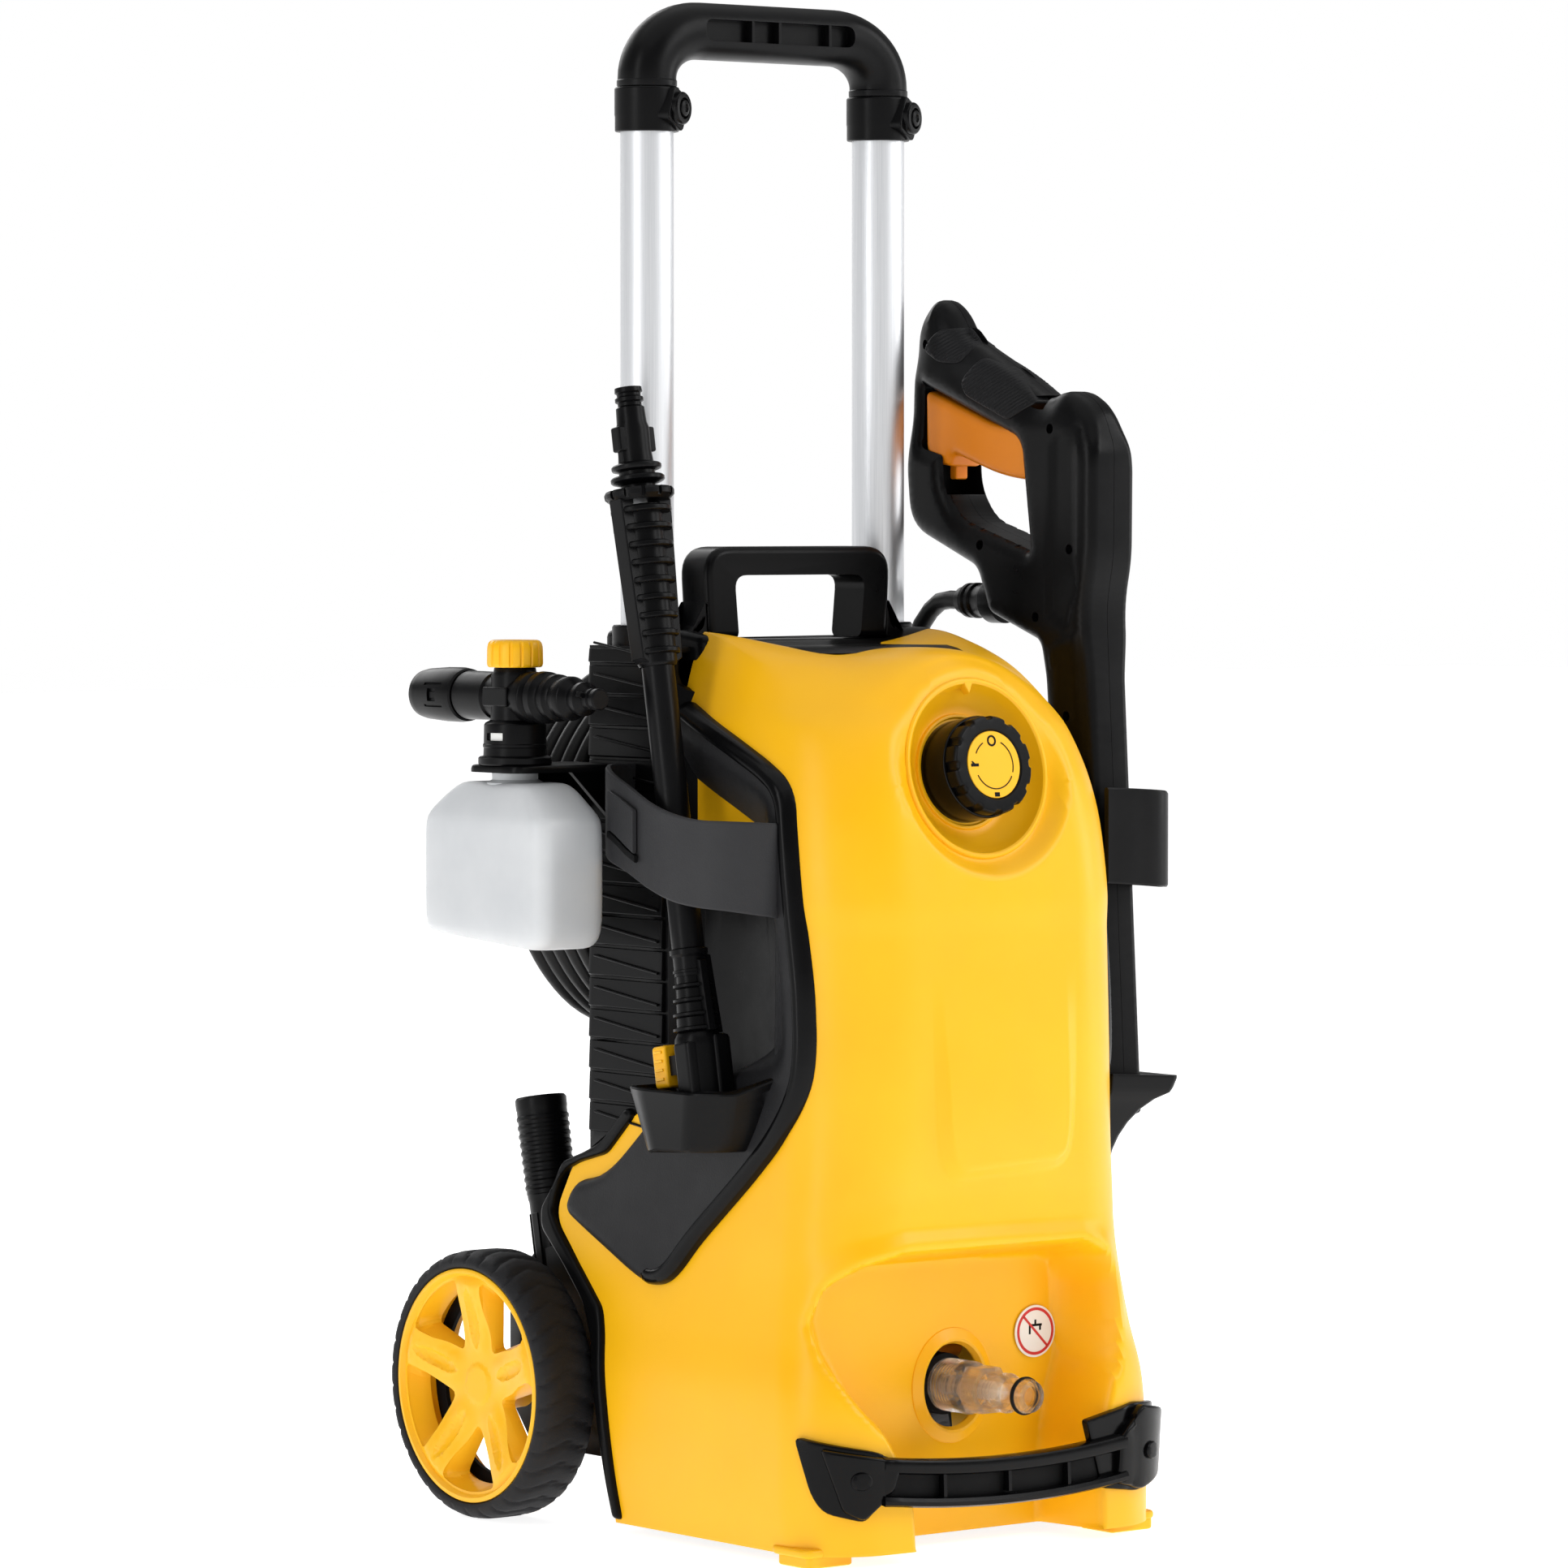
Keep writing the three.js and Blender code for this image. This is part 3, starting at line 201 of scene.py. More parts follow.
def smooth_path(points, per=12):
    """Points along a centripetal Catmull-Rom curve through the given ones."""
    p = [np.array(q, float) for q in points]
    p = [2 * p[0] - p[1]] + p + [2 * p[-1] - p[-2]]
    out = []
    for i in range(1, len(p) - 2):
        p0, p1, p2, p3 = p[i - 1:i + 3]
        t1 = np.linalg.norm(p1 - p0) ** 0.5
        t2 = t1 + np.linalg.norm(p2 - p1) ** 0.5
        t3 = t2 + np.linalg.norm(p3 - p2) ** 0.5
        for k in range(per):
            t = t1 + (t2 - t1) * k / per
            a1 = p0 * (t1 - t) / t1 + p1 * t / t1
            a2 = p1 * (t2 - t) / (t2 - t1) + p2 * (t - t1) / (t2 - t1)
            a3 = p2 * (t3 - t) / (t3 - t2) + p3 * (t - t2) / (t3 - t2)
            b1 = a1 * (t2 - t) / t2 + a2 * t / t2
            b2 = a2 * (t3 - t) / (t3 - t1) + a3 * (t - t1) / (t3 - t1)
            out.append(b1 * (t2 - t) / (t2 - t1) + b2 * (t - t1) / (t2 - t1))
    out.append(p[-2])
    return np.array(out)


def sweep(path, section, up=(0, 0, 1), scale=None):
    """A closed section (u, v pairs, or a radius) carried along a path without twist, with capped ends."""
    path = np.asarray(path, float)
    if np.isscalar(section):
        a = np.arange(20) * math.pi / 10
        section = np.column_stack([np.cos(a), np.sin(a)]) * section
    section = np.asarray(section, float)
    tangent = np.gradient(path, axis=0)
    tangent /= np.linalg.norm(tangent, axis=1, keepdims=True)
    side = np.cross(tangent[0], up)
    side /= np.linalg.norm(side)
    rings = []
    for i, (p, t) in enumerate(zip(path, tangent)):
        side = side - t * side.dot(t)
        side /= np.linalg.norm(side)
        other = np.cross(side, t)
        k = 1.0 if scale is None else scale[i]
        rings.append(p + k * (section[:, :1] * side + section[:, 1:] * other))
    return loft(rings)


def box(x0, x1, y0, y1, z0, z1, edge=0.0):
    return prism("xy", [(x0, y0), (x1, y0), (x1, y1), (x0, y1)], z0, z1, edge)


# ------------------------------------------------------------------ objects
def raw_object(name, s):
    mesh = bpy.data.meshes.new(name)
    mesh.from_pydata([tuple(p) for p in place(s[0])], [], s[1])
    bm = bmesh.new()
    bm.from_mesh(mesh)
    bmesh.ops.remove_doubles(bm, verts=bm.verts, dist=2e-6)
    bmesh.ops.recalc_face_normals(bm, faces=bm.faces)
    bm.to_mesh(mesh)
    bm.free()
    obj = bpy.data.objects.new(name, mesh)
    scene.collection.objects.link(obj)
    return obj


def apply_modifiers(obj):
    bpy.context.view_layer.update()
    made = bpy.data.meshes.new_from_object(obj.evaluated_get(bpy.context.evaluated_depsgraph_get()))
    old = obj.data
    obj.modifiers.clear()
    obj.data = made
    bpy.data.meshes.remove(old)


def boolean(obj, operation, *shapes):
    for s in shapes:
        other = raw_object("cutter", s)
        m = obj.modifiers.new("cut", "BOOLEAN")
        m.operation, m.solver, m.object = operation, "EXACT", other
        apply_modifiers(obj)
        bpy.data.objects.remove(other)


def soften(obj, width, segments=2, angle=32, sharp=42):
    """Rounds the edges and shades the surface smooth between the ones that stay sharp."""
    if width:
        b = obj.modifiers.new("edges", "BEVEL")
        b.width, b.segments, b.limit_method = width / 1000, segments, "ANGLE"
        b.angle_limit = math.radians(angle)
        b.use_clamp_overlap = True
        b.miter_outer = "MITER_ARC"
        apply_modifiers(obj)
    mesh = obj.data
    mesh.polygons.foreach_set("use_smooth", np.ones(len(mesh.polygons), bool))
    mesh.set_sharp_from_angle(angle=math.radians(sharp))
    w = obj.modifiers.new("normals", "WEIGHTED_NORMAL")
    w.keep_sharp = True
    return obj


def piece(name, s, material, body, nodes=(), width=0.5, segments=2, angle=32, sharp=42, holes=()):
    """One visible piece: a mesh from a shape, softened, painted, and riding on its body."""
    obj = raw_object(name, s)
    if holes:
        boolean(obj, "DIFFERENCE", *holes)
    soften(obj, width, segments, angle, sharp)
    return finish_piece(obj, material, body, nodes)


def finish_piece(obj, material, body, nodes=()):
    obj.data.materials.clear()
    obj.data.materials.append(material)
    if body:
        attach(obj, body)
    if nodes:
        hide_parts(*nodes)
    return obj


# ------------------------------------------------------------------ materials
def srgb(r, g, b):
    return tuple(c / 12.92 if c <= 0.04045 else ((c + 0.055) / 1.055) ** 2.4 for c in (r / 255, g / 255,
        b / 255)) + (1,)


class Finish:
    """A procedural material on the Principled shader, with a helper for each layer of detail."""

    def __init__(self, name, slot, roughness, metallic=0.0, **sockets):
        self.material = bpy.data.materials.new(name)
        self.material.use_nodes = True
        self.tree = self.material.node_tree
        self.shader = self.tree.nodes["Principled BSDF"]
        self.shader.inputs["Metallic"].default_value = metallic
        for key, value in sockets.items():
            self.shader.inputs[key.replace("_", " ")].default_value = value
        self.where = self.tree.nodes.new("ShaderNodeTexCoord").outputs["Object"]
        self.roughness = roughness

    def node(self, kind, **values):
        n = self.tree.nodes.new(kind)
        for key, value in values.items():
            if hasattr(n, key):
                setattr(n, key, value)
            else:
                n.inputs[key.replace("_", " ")].default_value = value
        return n

    def link(self, a, b):
        self.tree.links.new(a, b)

    def noise(self, scale, detail=3.0, rough=0.55, stretch=None):
        n = self.node("ShaderNodeTexNoise", Scale=scale, Detail=detail, Roughness=rough)
        where = self.where
        if stretch:
            m = self.node("ShaderNodeMapping")
            m.inputs["Scale"].default_value = stretch
            self.link(where, m.inputs["Vector"])
            where = m.outputs["Vector"]
        self.link(where, n.inputs["Vector"])
        return n.outputs["Fac"]

    def spread(self, value, low, high, a=0.3, b=0.7):
        m = self.node("ShaderNodeMapRange")
        for key, v in zip(("From Min", "From Max", "To Min", "To Max"), (a, b, low, high)):
            m.inputs[key].default_value = v
        self.link(value, m.inputs["Value"])
        return m.outputs["Result"]

    def colour(self, base, other, factor, wear=None, wear_amount=0.5):
        mix = self.node("ShaderNodeMix", data_type="RGBA")
        mix.inputs[6].default_value, mix.inputs[7].default_value = base, other
        self.link(factor, mix.inputs[0])
        out = mix.outputs[2]
        if wear:
            edge = self.node("ShaderNodeNewGeometry").outputs["Pointiness"]
            spot = self.spread(edge, 0.0, wear_amount, 0.53, 0.62)
            worn = self.node("ShaderNodeMix", data_type="RGBA")
            worn.inputs[7].default_value = wear
            self.link(out, worn.inputs[6])
            self.link(spot, worn.inputs[0])
            out = worn.outputs[2]
        self.link(out, self.shader.inputs["Base Color"])

    def rough(self, value, low, high):
        self.link(self.spread(value, low, high), self.shader.inputs["Roughness"])

    def bumps(self, *layers):
        last = None
        for value, strength, distance in layers:
            b = self.node("ShaderNodeBump", Strength=strength, Distance=distance)
            self.link(value, b.inputs["Height"])
            if last:
                self.link(last, b.inputs["Normal"])
            last = b.outputs["Normal"]
        self.link(last, self.shader.inputs["Normal"])


def moulded(name, slot, base, other, roughness, grain=1500.0, bump=0.08, wear=None, wear_amount=0.35, **sockets):
    """Injection-moulded plastic: a fine spark grain over a slow unevenness of gloss, colour and surface."""
    f = Finish(name, slot, roughness, **sockets)
    slow, fine = f.noise(14.0, 4.0), f.noise(grain, 2.0, 0.6)
    f.colour(srgb(*base), srgb(*other), f.spread(slow, 0.0, 1.0), srgb(*wear) if wear else None, wear_amount)
    f.rough(f.noise(35.0, 5.0, 0.7), roughness - 0.05, roughness + 0.07)
    f.bumps((slow, 0.10, 0.0006), (fine, bump, 0.0004))
    return f.material


YELLOW = moulded("yellow_shell", "yellow_plastic", (252, 190, 16), (250, 184, 12), 0.34, 1300, 0.03, (255, 210, 80),
                 0.15,
                 Specular_IOR_Level=0.32)
ORANGE = moulded("orange_lever", "orange_plastic", (232, 136, 16), (226, 128, 12), 0.36, 1300, 0.04,
                 Specular_IOR_Level=0.3)
BLACK = moulded("black_satin", "black_plastic", (5, 5, 6), (8, 8, 9), 0.32, 1500, 0.04, (26, 26, 28), 0.25,
                Specular_IOR_Level=0.13)
GLOSS = moulded("black_gloss", "black_plastic", (4, 4, 5), (7, 7, 8), 0.22, 1500, 0.03, (26, 26, 28), 0.25,
                Specular_IOR_Level=0.14)
GREY = moulded("grey_textured", "grey_plastic", (38, 38, 40), (44, 44, 46), 0.55, 900, 0.25, (60, 60, 63), 0.25,
               Specular_IOR_Level=0.3)
DARK = moulded("dark_textured", "grey_plastic", (16, 16, 17), (20, 20, 22), 0.48, 1000, 0.2, (36, 36, 38), 0.25,
               Specular_IOR_Level=0.2)
WHITE = moulded("white_plastic", "white_plastic", (240, 240, 236), (232, 232, 228), 0.45, 1400, 0.04)
INNER = moulded("shadowed_plastic", "black_plastic", (6, 6, 7), (9, 9, 10), 0.6, 1200, 0.06,
                Specular_IOR_Level=0.15)


def rubber(name, slot, base, other, roughness, grain, bump):
    f = Finish(name, slot, roughness, Specular_IOR_Level=0.2)
    slow, fine = f.noise(22.0, 5.0, 0.65), f.noise(grain, 3.0, 0.7)
    f.colour(srgb(*base), srgb(*other), f.spread(slow, 0.0, 1.0), srgb(48, 48, 50), 0.2)
    f.rough(slow, roughness - 0.08, roughness + 0.08)
    f.bumps((slow, 0.15, 0.0008), (fine, bump, 0.0005))
    return f.material


TYRE = rubber("tyre_rubber", "tyre_rubber", (27, 27, 29), (34, 34, 36), 0.6, 1100, 0.3)
HOSE = rubber("hose_rubber", "hose_rubber", (12, 12, 13), (17, 17, 18), 0.42, 1600, 0.12)


def metal(name, slot, base, other, roughness, stretch, bump=0.05, scale=60.0, **sockets):
    f = Finish(name, slot, roughness, metallic=1.0, **sockets)
    slow, lines = f.noise(18.0, 4.0), f.noise(scale, 6.0, 0.7, stretch)
    f.colour(srgb(*base), srgb(*other), f.spread(lines, 0.0, 1.0))
    f.rough(lines, roughness - 0.05, roughness + 0.08)
    f.bumps((slow, 0.05, 0.0004), (lines, bump, 0.0002))
    return f.material


ALUMINIUM = metal("anodised_aluminium", "aluminium", (226, 227, 229), (208, 210, 213), 0.4, (30, 30, 0.25), 0.06)
CAST = metal("cast_aluminium", "cast_aluminium", (186, 188, 190), (160, 162, 165), 0.5, (8, 8, 8), 0.4)
STEEL = metal("turned_steel", "steel", (168, 170, 174), (146, 148, 152), 0.32, (1, 1, 40), 0.08)
BRASS = metal("turned_brass", "brass", (206, 166, 86), (184, 142, 66), 0.3, (40, 1, 40), 0.08)


def clear_plastic():
    f = Finish("smoky_clear", "clear_plastic", 0.08, Transmission_Weight=0.9, IOR=1.3, Alpha=0.6)
    slow = f.noise(30.0, 3.0)
    f.colour(srgb(236, 224, 212), srgb(222, 210, 198), f.spread(slow, 0.0, 1.0))
    f.rough(slow, 0.06, 0.16)
    f.bumps((slow, 0.08, 0.0005))
    return f.material


def milky_plastic():
    f = Finish("milky_blow_moulded", "milky_plastic", 0.4, Subsurface_Weight=0.35, Subsurface_Scale=0.02)
    f.shader.inputs["Subsurface Radius"].default_value = (1.0, 1.0, 1.0)
    slow = f.noise(16.0, 4.0)
    f.colour(srgb(206, 208, 210), srgb(194, 197, 200), f.spread(slow, 0.0, 1.0))
    f.rough(slow, 0.34, 0.46)
    f.bumps((slow, 0.2, 0.0012), (f.noise(700.0, 2.0), 0.06, 0.0003))
    return f.material


CLEAR, MILKY = clear_plastic(), milky_plastic()

# ------------------------------------------------------------------ camera, floor and light
# Where the photograph was taken from, in design millimetres, and the way that it looks.
CAMERA_AT, CAMERA_AZIMUTH, CAMERA_DIP, CAMERA_LENS = (-2314.8, -2898.1, 535.8), 38.5, 2.28, 161.35


def studio():
    eye = place([CAMERA_AT])[0]
    azimuth, dip = math.radians(CAMERA_AZIMUTH), math.radians(CAMERA_DIP)
    look = Vector((math.sin(azimuth) * math.cos(dip), math.cos(azimuth) * math.cos(dip), -math.sin(dip)))
    data = bpy.data.cameras.new("camera")
    data.sensor_width, data.lens = 36.0, CAMERA_LENS
    data.clip_start, data.clip_end = 0.05, 50.0
    cam = bpy.data.objects.new("camera", data)
    cam.matrix_world = Matrix.Translation(eye) @ look.to_track_quat("-Z", "Y").to_matrix().to_4x4()
    scene.collection.objects.link(cam)
    scene.camera = cam

    floor = bpy.data.materials.new("pale_floor")
    floor.use_nodes = True
    shader = floor.node_tree.nodes["Principled BSDF"]
    shader.inputs["Base Color"].default_value = (0.9, 0.9, 0.9, 1)
    shader.inputs["Roughness"].default_value = 0.6
    shader.inputs["Emission Color"].default_value = (1, 1, 1, 1)
    shader.inputs["Emission Strength"].default_value = 0.86
    mesh = bpy.data.meshes.new("floor")
    mesh.from_pydata([(-14, -14, 0), (14, -14, 0), (14, 14, 0), (-14, 14, 0)], [], [(0, 1, 2, 3)])
    mesh.materials.append(floor)
    ground = bpy.data.objects.new("floor", mesh)
    scene.collection.objects.link(ground)

    # A white band at the horizon and a soft grey dome above it.
    world = bpy.data.worlds.new("studio")
    world.use_nodes = True
    nodes, links = world.node_tree.nodes, world.node_tree.links
    where = nodes.new("ShaderNodeTexCoord").outputs["Generated"]
    split = nodes.new("ShaderNodeSeparateXYZ")
    links.new(where, split.inputs[0])
    dome = nodes.new("ShaderNodeMapRange")
    for key, value in (("From Min", 0.08), ("From Max", 0.16), ("To Min", 1.0), ("To Max", 0.24)):
        dome.inputs[key].default_value = value
    links.new(split.outputs["Z"], dome.inputs["Value"])
    links.new(dome.outputs["Result"], nodes["Background"].inputs["Strength"])
    nodes["Background"].inputs["Color"].default_value = (1, 1, 1, 1)
    scene.world = world

    for name, spot, size, power in [
        ("overhead", (0.0, -0.2, 3.4), (4.5, 4.5), 46),
        ("key", (1.5, -2.3, 1.9), (1.0, 1.6), 26),
        ("left_strip", (-2.4, -0.3, 1.2), (0.5, 2.2), 14),
        ("right_strip", (2.2, -1.0, 1.3), (0.6, 2.2), 15),
        ("rim", (0.3, 2.6, 1.8), (2.0, 1.2), 20),
    ]:
        light = bpy.data.lights.new(name, "AREA")
        light.shape, light.size, light.size_y, light.energy = "RECTANGLE", *size, power
        lamp = bpy.data.objects.new(name, light)
        lamp.location = spot
        lamp.rotation_euler = (Vector((0, 0, 0.4)) - Vector(spot)).to_track_quat("-Z", "Y").to_euler()
        scene.collection.objects.link(lamp)
    scene.view_settings.view_transform = "Standard"


studio()

# ------------------------------------------------------------------ hose
HOSE_R, HOSE_PITCH, HOSE_Z = 5.0, 11.0, 352.0
COIL_OUTER, COIL_INNER, COIL_Y0 = 102.0, 91.0, 69.0
HOSE_EXIT = (-44.2, 57.0, 261.8)
COIL_TURNS, TURN_STEP = 5, 7.5  # turns in a layer, degrees between points


def ease(t):
    t = np.clip(t, 0.0, 1.0)
    return t * t * (3 - 2 * t)


def hose_route():
    """Centreline of the high-pressure hose: out of the elbow, two layers of five turns, and up to the gun."""
    degrees, radius, depth = [], [], []

    def add(a, r, y):
        degrees.append(a)
        radius.append(r)
        depth.append(y)

    for a in np.arange(256, 300, TURN_STEP):
        add(a, COIL_OUTER + 0.5 * (300 - a) / 44, 57 + 12 * ease((a - 244) / 56))
    for layer, r in enumerate((COIL_OUTER, COIL_INNER)):
        first = 300 + layer * (COIL_TURNS * 360 - 20)
        last_turn = COIL_TURNS - 1
        for k in range(COIL_TURNS):
            for a in np.arange(0, 360 if (layer, k) != (1, last_turn) else 330, TURN_STEP):
                step = ease((a - 300) / 60) if k < last_turn else 0.0
                y = COIL_Y0 + HOSE_PITCH * (k + step)
                if layer:
                    y = COIL_Y0 + HOSE_PITCH * (last_turn - k - step)
                rr = r
                if layer == 0 and k == last_turn:
                    if a >= 340:
                        continue
                    rr = r - HOSE_PITCH * ease((a - 290) / 50)
                add(first + k * 360 + a, rr, y)
    last = degrees[-1]
    goal = 372 + 360 * round((last - 290) / 360)
    for a in np.arange(last + TURN_STEP, goal - 3, TURN_STEP):
        t = (a - last) / (goal - last)
        add(a, COIL_INNER + 13.3 * ease((t - 0.35) / 0.65), COIL_Y0 - 12 * ease(t / 0.45))
    turns = [(r * math.cos(math.radians(a)), y, HOSE_Z + r * math.sin(math.radians(a)))
             for a, r, y in zip(degrees, radius, depth)]
    lead = [HOSE_EXIT, (-36.6, 57.0, 256.0)]
    tail = [(102, 57, 374), (105, 56, 402), (118, 55, 444), (124, 47, 471), (125, 33, 483), (125, 15.5, 484)]
    return smooth_path(lead + turns + tail, 2)


def hose():
    route = hose_route()
    obj = raw_object("hose", sweep(route, np.column_stack([
        np.cos(np.arange(14) * math.pi / 7), np.sin(np.arange(14) * math.pi / 7)]) * HOSE_R))
    soften(obj, 0, sharp=60)
    obj.modifiers.clear()
    finish_piece(obj, HOSE, None, ("hose_coil", "hose_to_gun"))
    tuple(place([(77.9, 69, 456.5)])[0])
    tuple(place([(125, 14, 484)])[0])
    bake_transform(obj)
    tuple(place([HOSE_EXIT])[0])
    place(route).tolist()


hose()

# ------------------------------------------------------------------ front cover
# Stations from the floor over the crown: height, half-width, front, corner radius.
COVER_ROWS = [
    (6, 116.5, -169, 36), (30, 118, -168.5, 38), (60, 118, -168, 39), (85, 116.5, -167.5, 41),
              (113, 111.5, -164.5, 44),
    (140, 107.5, -160, 42), (160, 105.5, -158.5, 41), (182, 103.5, -160, 42), (204, 102, -162, 45),
    (255, 100.5, -163, 46), (300, 100, -162, 46), (332, 100, -160.5, 46), (358, 99.5, -157.5, 46),
    (379, 98.5, -154, 47), (400, 96.5, -149, 51), (423, 92, -140, 56), (440, 87.5, -128, 62),
    (452, 84, -113, 60), (460, 81, -94, 52), (466, 78.5, -72, 42), (470, 76.5, -46, 26), (471.5, 75, -12, 6),
]
COVER_REAR, CROWN_BOW, SHELL = 88.0, 4.0, 3.0
KNOB_TILT, KNOB_Y, KNOB_Z = math.radians(10), -131.0, 398.0
KNOB_AXIS = np.array([0, -math.cos(KNOB_TILT), math.sin(KNOB_TILT)])
WELL = {"rim": 44.6, "plane": 15.5, "floor": 36.0, "level": 3.0}
ARCH_FLOOR = -128.0
ARCH = [(-50, -30), (-53, 28), (-58, 48), (-70, 68), (-86, 86), (-97, 104), (-101, 122), (-95, 139), (-82, 148),
        (-60, 153),
        (0, 153), (56, 152), (69, 147), (75, 134), (76, 112), (74, 92), (67, 70), (63, 50), (62, 24), (62, -30)]
FASCIA = [(-46, 312), (-44.5, 257), (-42.5, 215), (-38.5, 198.5), (-29, 191.5), (38, 194.5), (47, 201), (49.5, 215),
          (50.5, 252),
          (51, 312)]


def distance_to(outline, x, z):
    """Signed distance in the plane to a closed outline, positive inside."""
    o = np.asarray(outline, float)
    p = np.stack([x, z], -1)
    best = np.full(x.shape, 1e9)
    inside = np.zeros(x.shape, bool)
    for a, b in zip(o, np.roll(o, -1, 0)):
        d = b - a
        t = np.clip(((p - a) @ d) / (d @ d), 0, 1)
        best = np.minimum(best, np.linalg.norm(p - a - t[..., None] * d, axis=-1))
        crosses = (a[1] > z) != (b[1] > z)
        with np.errstate(divide="ignore", invalid="ignore"):
            at = a[0] + (z - a[1]) * d[0] / d[1]
        inside ^= crosses & (x < at)
    return np.where(inside, best, -best)


def resample(rows, step, keep=2):
    """Stations a fixed distance apart along a smooth curve through the rows, measured in height and front."""
    fine = smooth_path(rows, 40)
    length = np.concatenate([[0], np.cumsum(np.linalg.norm(np.diff(fine[:, [0, keep]], axis=0), axis=1))])
    at = np.linspace(0, length[-1], int(length[-1] / step) + 1)
    return np.column_stack([np.interp(at, length, fine[:, k]) for k in range(fine.shape[1])])


def cover_grid(inset, side=26, corner=20, front=112, step=1.75):
    """The cover's skin, moved inwards by inset, as a grid of points."""
    rows = resample(COVER_ROWS, step)
    grid = []
    for z, w, f, r in rows:
        swell = inset - 0.8 * ease((z - 315) / 20) * ease((436 - z) / 16)
        w, f, r = w - swell, f + swell, max(r - inset, 4)
        a = np.linspace(0, math.pi / 2, corner + 1)[1:-1]
        left = [(-w, y) for y in np.linspace(COVER_REAR, f + r, side)]
        bend = [(-w + r - r * math.cos(t), f + r - r * math.sin(t)) for t in a]
        flat = [(x, f) for x in np.linspace(-w + r, w - r, front)]
        half = left + bend
        ring = half + flat + [(-x, y) for x, y in reversed(half)]
        grid.append([(x, y, z) for x, y in ring])
    g = np.array(grid)
    x, y, z = g[..., 0].copy(), g[..., 1].copy(), g[..., 2].copy()
    facing = ease((60 - (y - y.min(1, keepdims=True))) / 50)
    y -= CROWN_BOW * facing * (1 - (x / 95) ** 2).clip(0, 1)
    z -= inset * ease((z - 430) / 35)
    # saddle between the two shoulders
    z -= 11.5 * (1 - (np.abs(x) / 80) ** 2.2).clip(0, 1) * ease((y + 135) / 85) * ease((z - 425) / 30)
    # fascia that stands proud towards its lower edge
    d = distance_to(rounded(FASCIA, 9, 4), x, z)
    y -= 4.6 * ease((306 - z) / 96) * (d / 6.5).clip(0, 1) * facing
    # swelling round the rim of the knob's bowl
    out = np.stack([x, y - KNOB_Y, z - KNOB_Z], -1)
    height = out @ KNOB_AXIS
    radius = np.linalg.norm(out - height[..., None] * KNOB_AXIS, axis=-1)
    target = WELL["plane"] - inset - 0.55 * (radius - WELL["rim"] - 3.0).clip(0, None)
    lift = np.where((radius < 90) & (y < -60), target - height, -9)
    lift = 0.5 * (lift + np.sqrt(lift ** 2 + 6.0)) * (height > -60)
    lift *= ease((80 - radius) / 22)
    near = ease((WELL["rim"] + 14 - radius) / 12) * (height > -60) * (y < -60)
    lift = lift * (1 - near) + (WELL["plane"] - inset - height) * near
    y += lift * KNOB_AXIS[1]
    z += lift * KNOB_AXIS[2]
    # niche round the water inlet
    d = distance_to(ARCH, x, z)
    floor = ARCH_FLOOR + inset
    top, right = ease((z - 112) / 28), ease((x - 30) / 30)
    soft = (1 - top) * (1 - right)
    share = ease((d + 3.0 + 6.0 * soft) / (7.0 + 10.0 * soft))
    y = np.where(floor > y, y + (floor - y) * share, y)
    # brow above the niche, a shelf that leans out
    lip = ease((z - 96) / 34) * ease((x + 118) / 34) * (d < 0) * facing
    y -= 5.0 * lip * ease((-d - 0.5) / 3.5) * (0.6 * ease((17 + d) / 11) + 0.4 * ease((34 + d) / 26))
    # the steep walls of the niche are evened out over the grid
    wall = np.exp(-(d / 9) ** 2)[1:-1, 1:-1] * (y < -60)[1:-1, 1:-1]
    for _ in range(5):
        even = (y[:-2, 1:-1] + y[2:, 1:-1] + y[1:-1, :-2] + y[1:-1, 2:]) / 4
        y[1:-1, 1:-1] += 0.7 * wall * (even - y[1:-1, 1:-1])
    return np.stack([x, y, z], -1)


def cover_shell():
    outer, inner = cover_grid(0.0), cover_grid(SHELL)
    m, n = outer.shape[:2]
    points = np.vstack([outer.reshape(-1, 3), inner.reshape(-1, 3)])
    faces = []
    for k in range(m - 1):
        for i in range(n - 1):
            q = (k * n + i, k * n + i + 1, (k + 1) * n + i + 1, (k + 1) * n + i)
            faces.append(q)
            faces.append(tuple(v + m * n for v in reversed(q)))
    border = list(range(n)) + [k * n + n - 1 for k in range(1, m)]
    border += [(m - 1) * n + i for i in range(n - 2, -1, -1)] + [k * n for k in range(m - 2, 0, -1)]
    for a, b in zip(border, border[1:] + border[:1]):
        faces.append((b, a, a + m * n, b + m * n))
    return shape(points, faces)


# The cover's edge seen from the side, as (y, z) corners; everything behind it is black.
SIDE_EDGE = [
    (-17, 520, 0), (-17, 433, 8), (-109, 394, 14), (-119, 368, 30), (-129, 300, 40), (-131, 250, 22), (-7, 226, 6),
             (60, 190, 8), (74, 161, 12), (21, 111, 18),
    (1, -30, 0), (140, -30, 0), (140, 520, 0),
]


def along_knob(s, height=0.0):
    return aim(moved(s, 0, 0, height), KNOB_AXIS, 0, KNOB_Y, KNOB_Z)


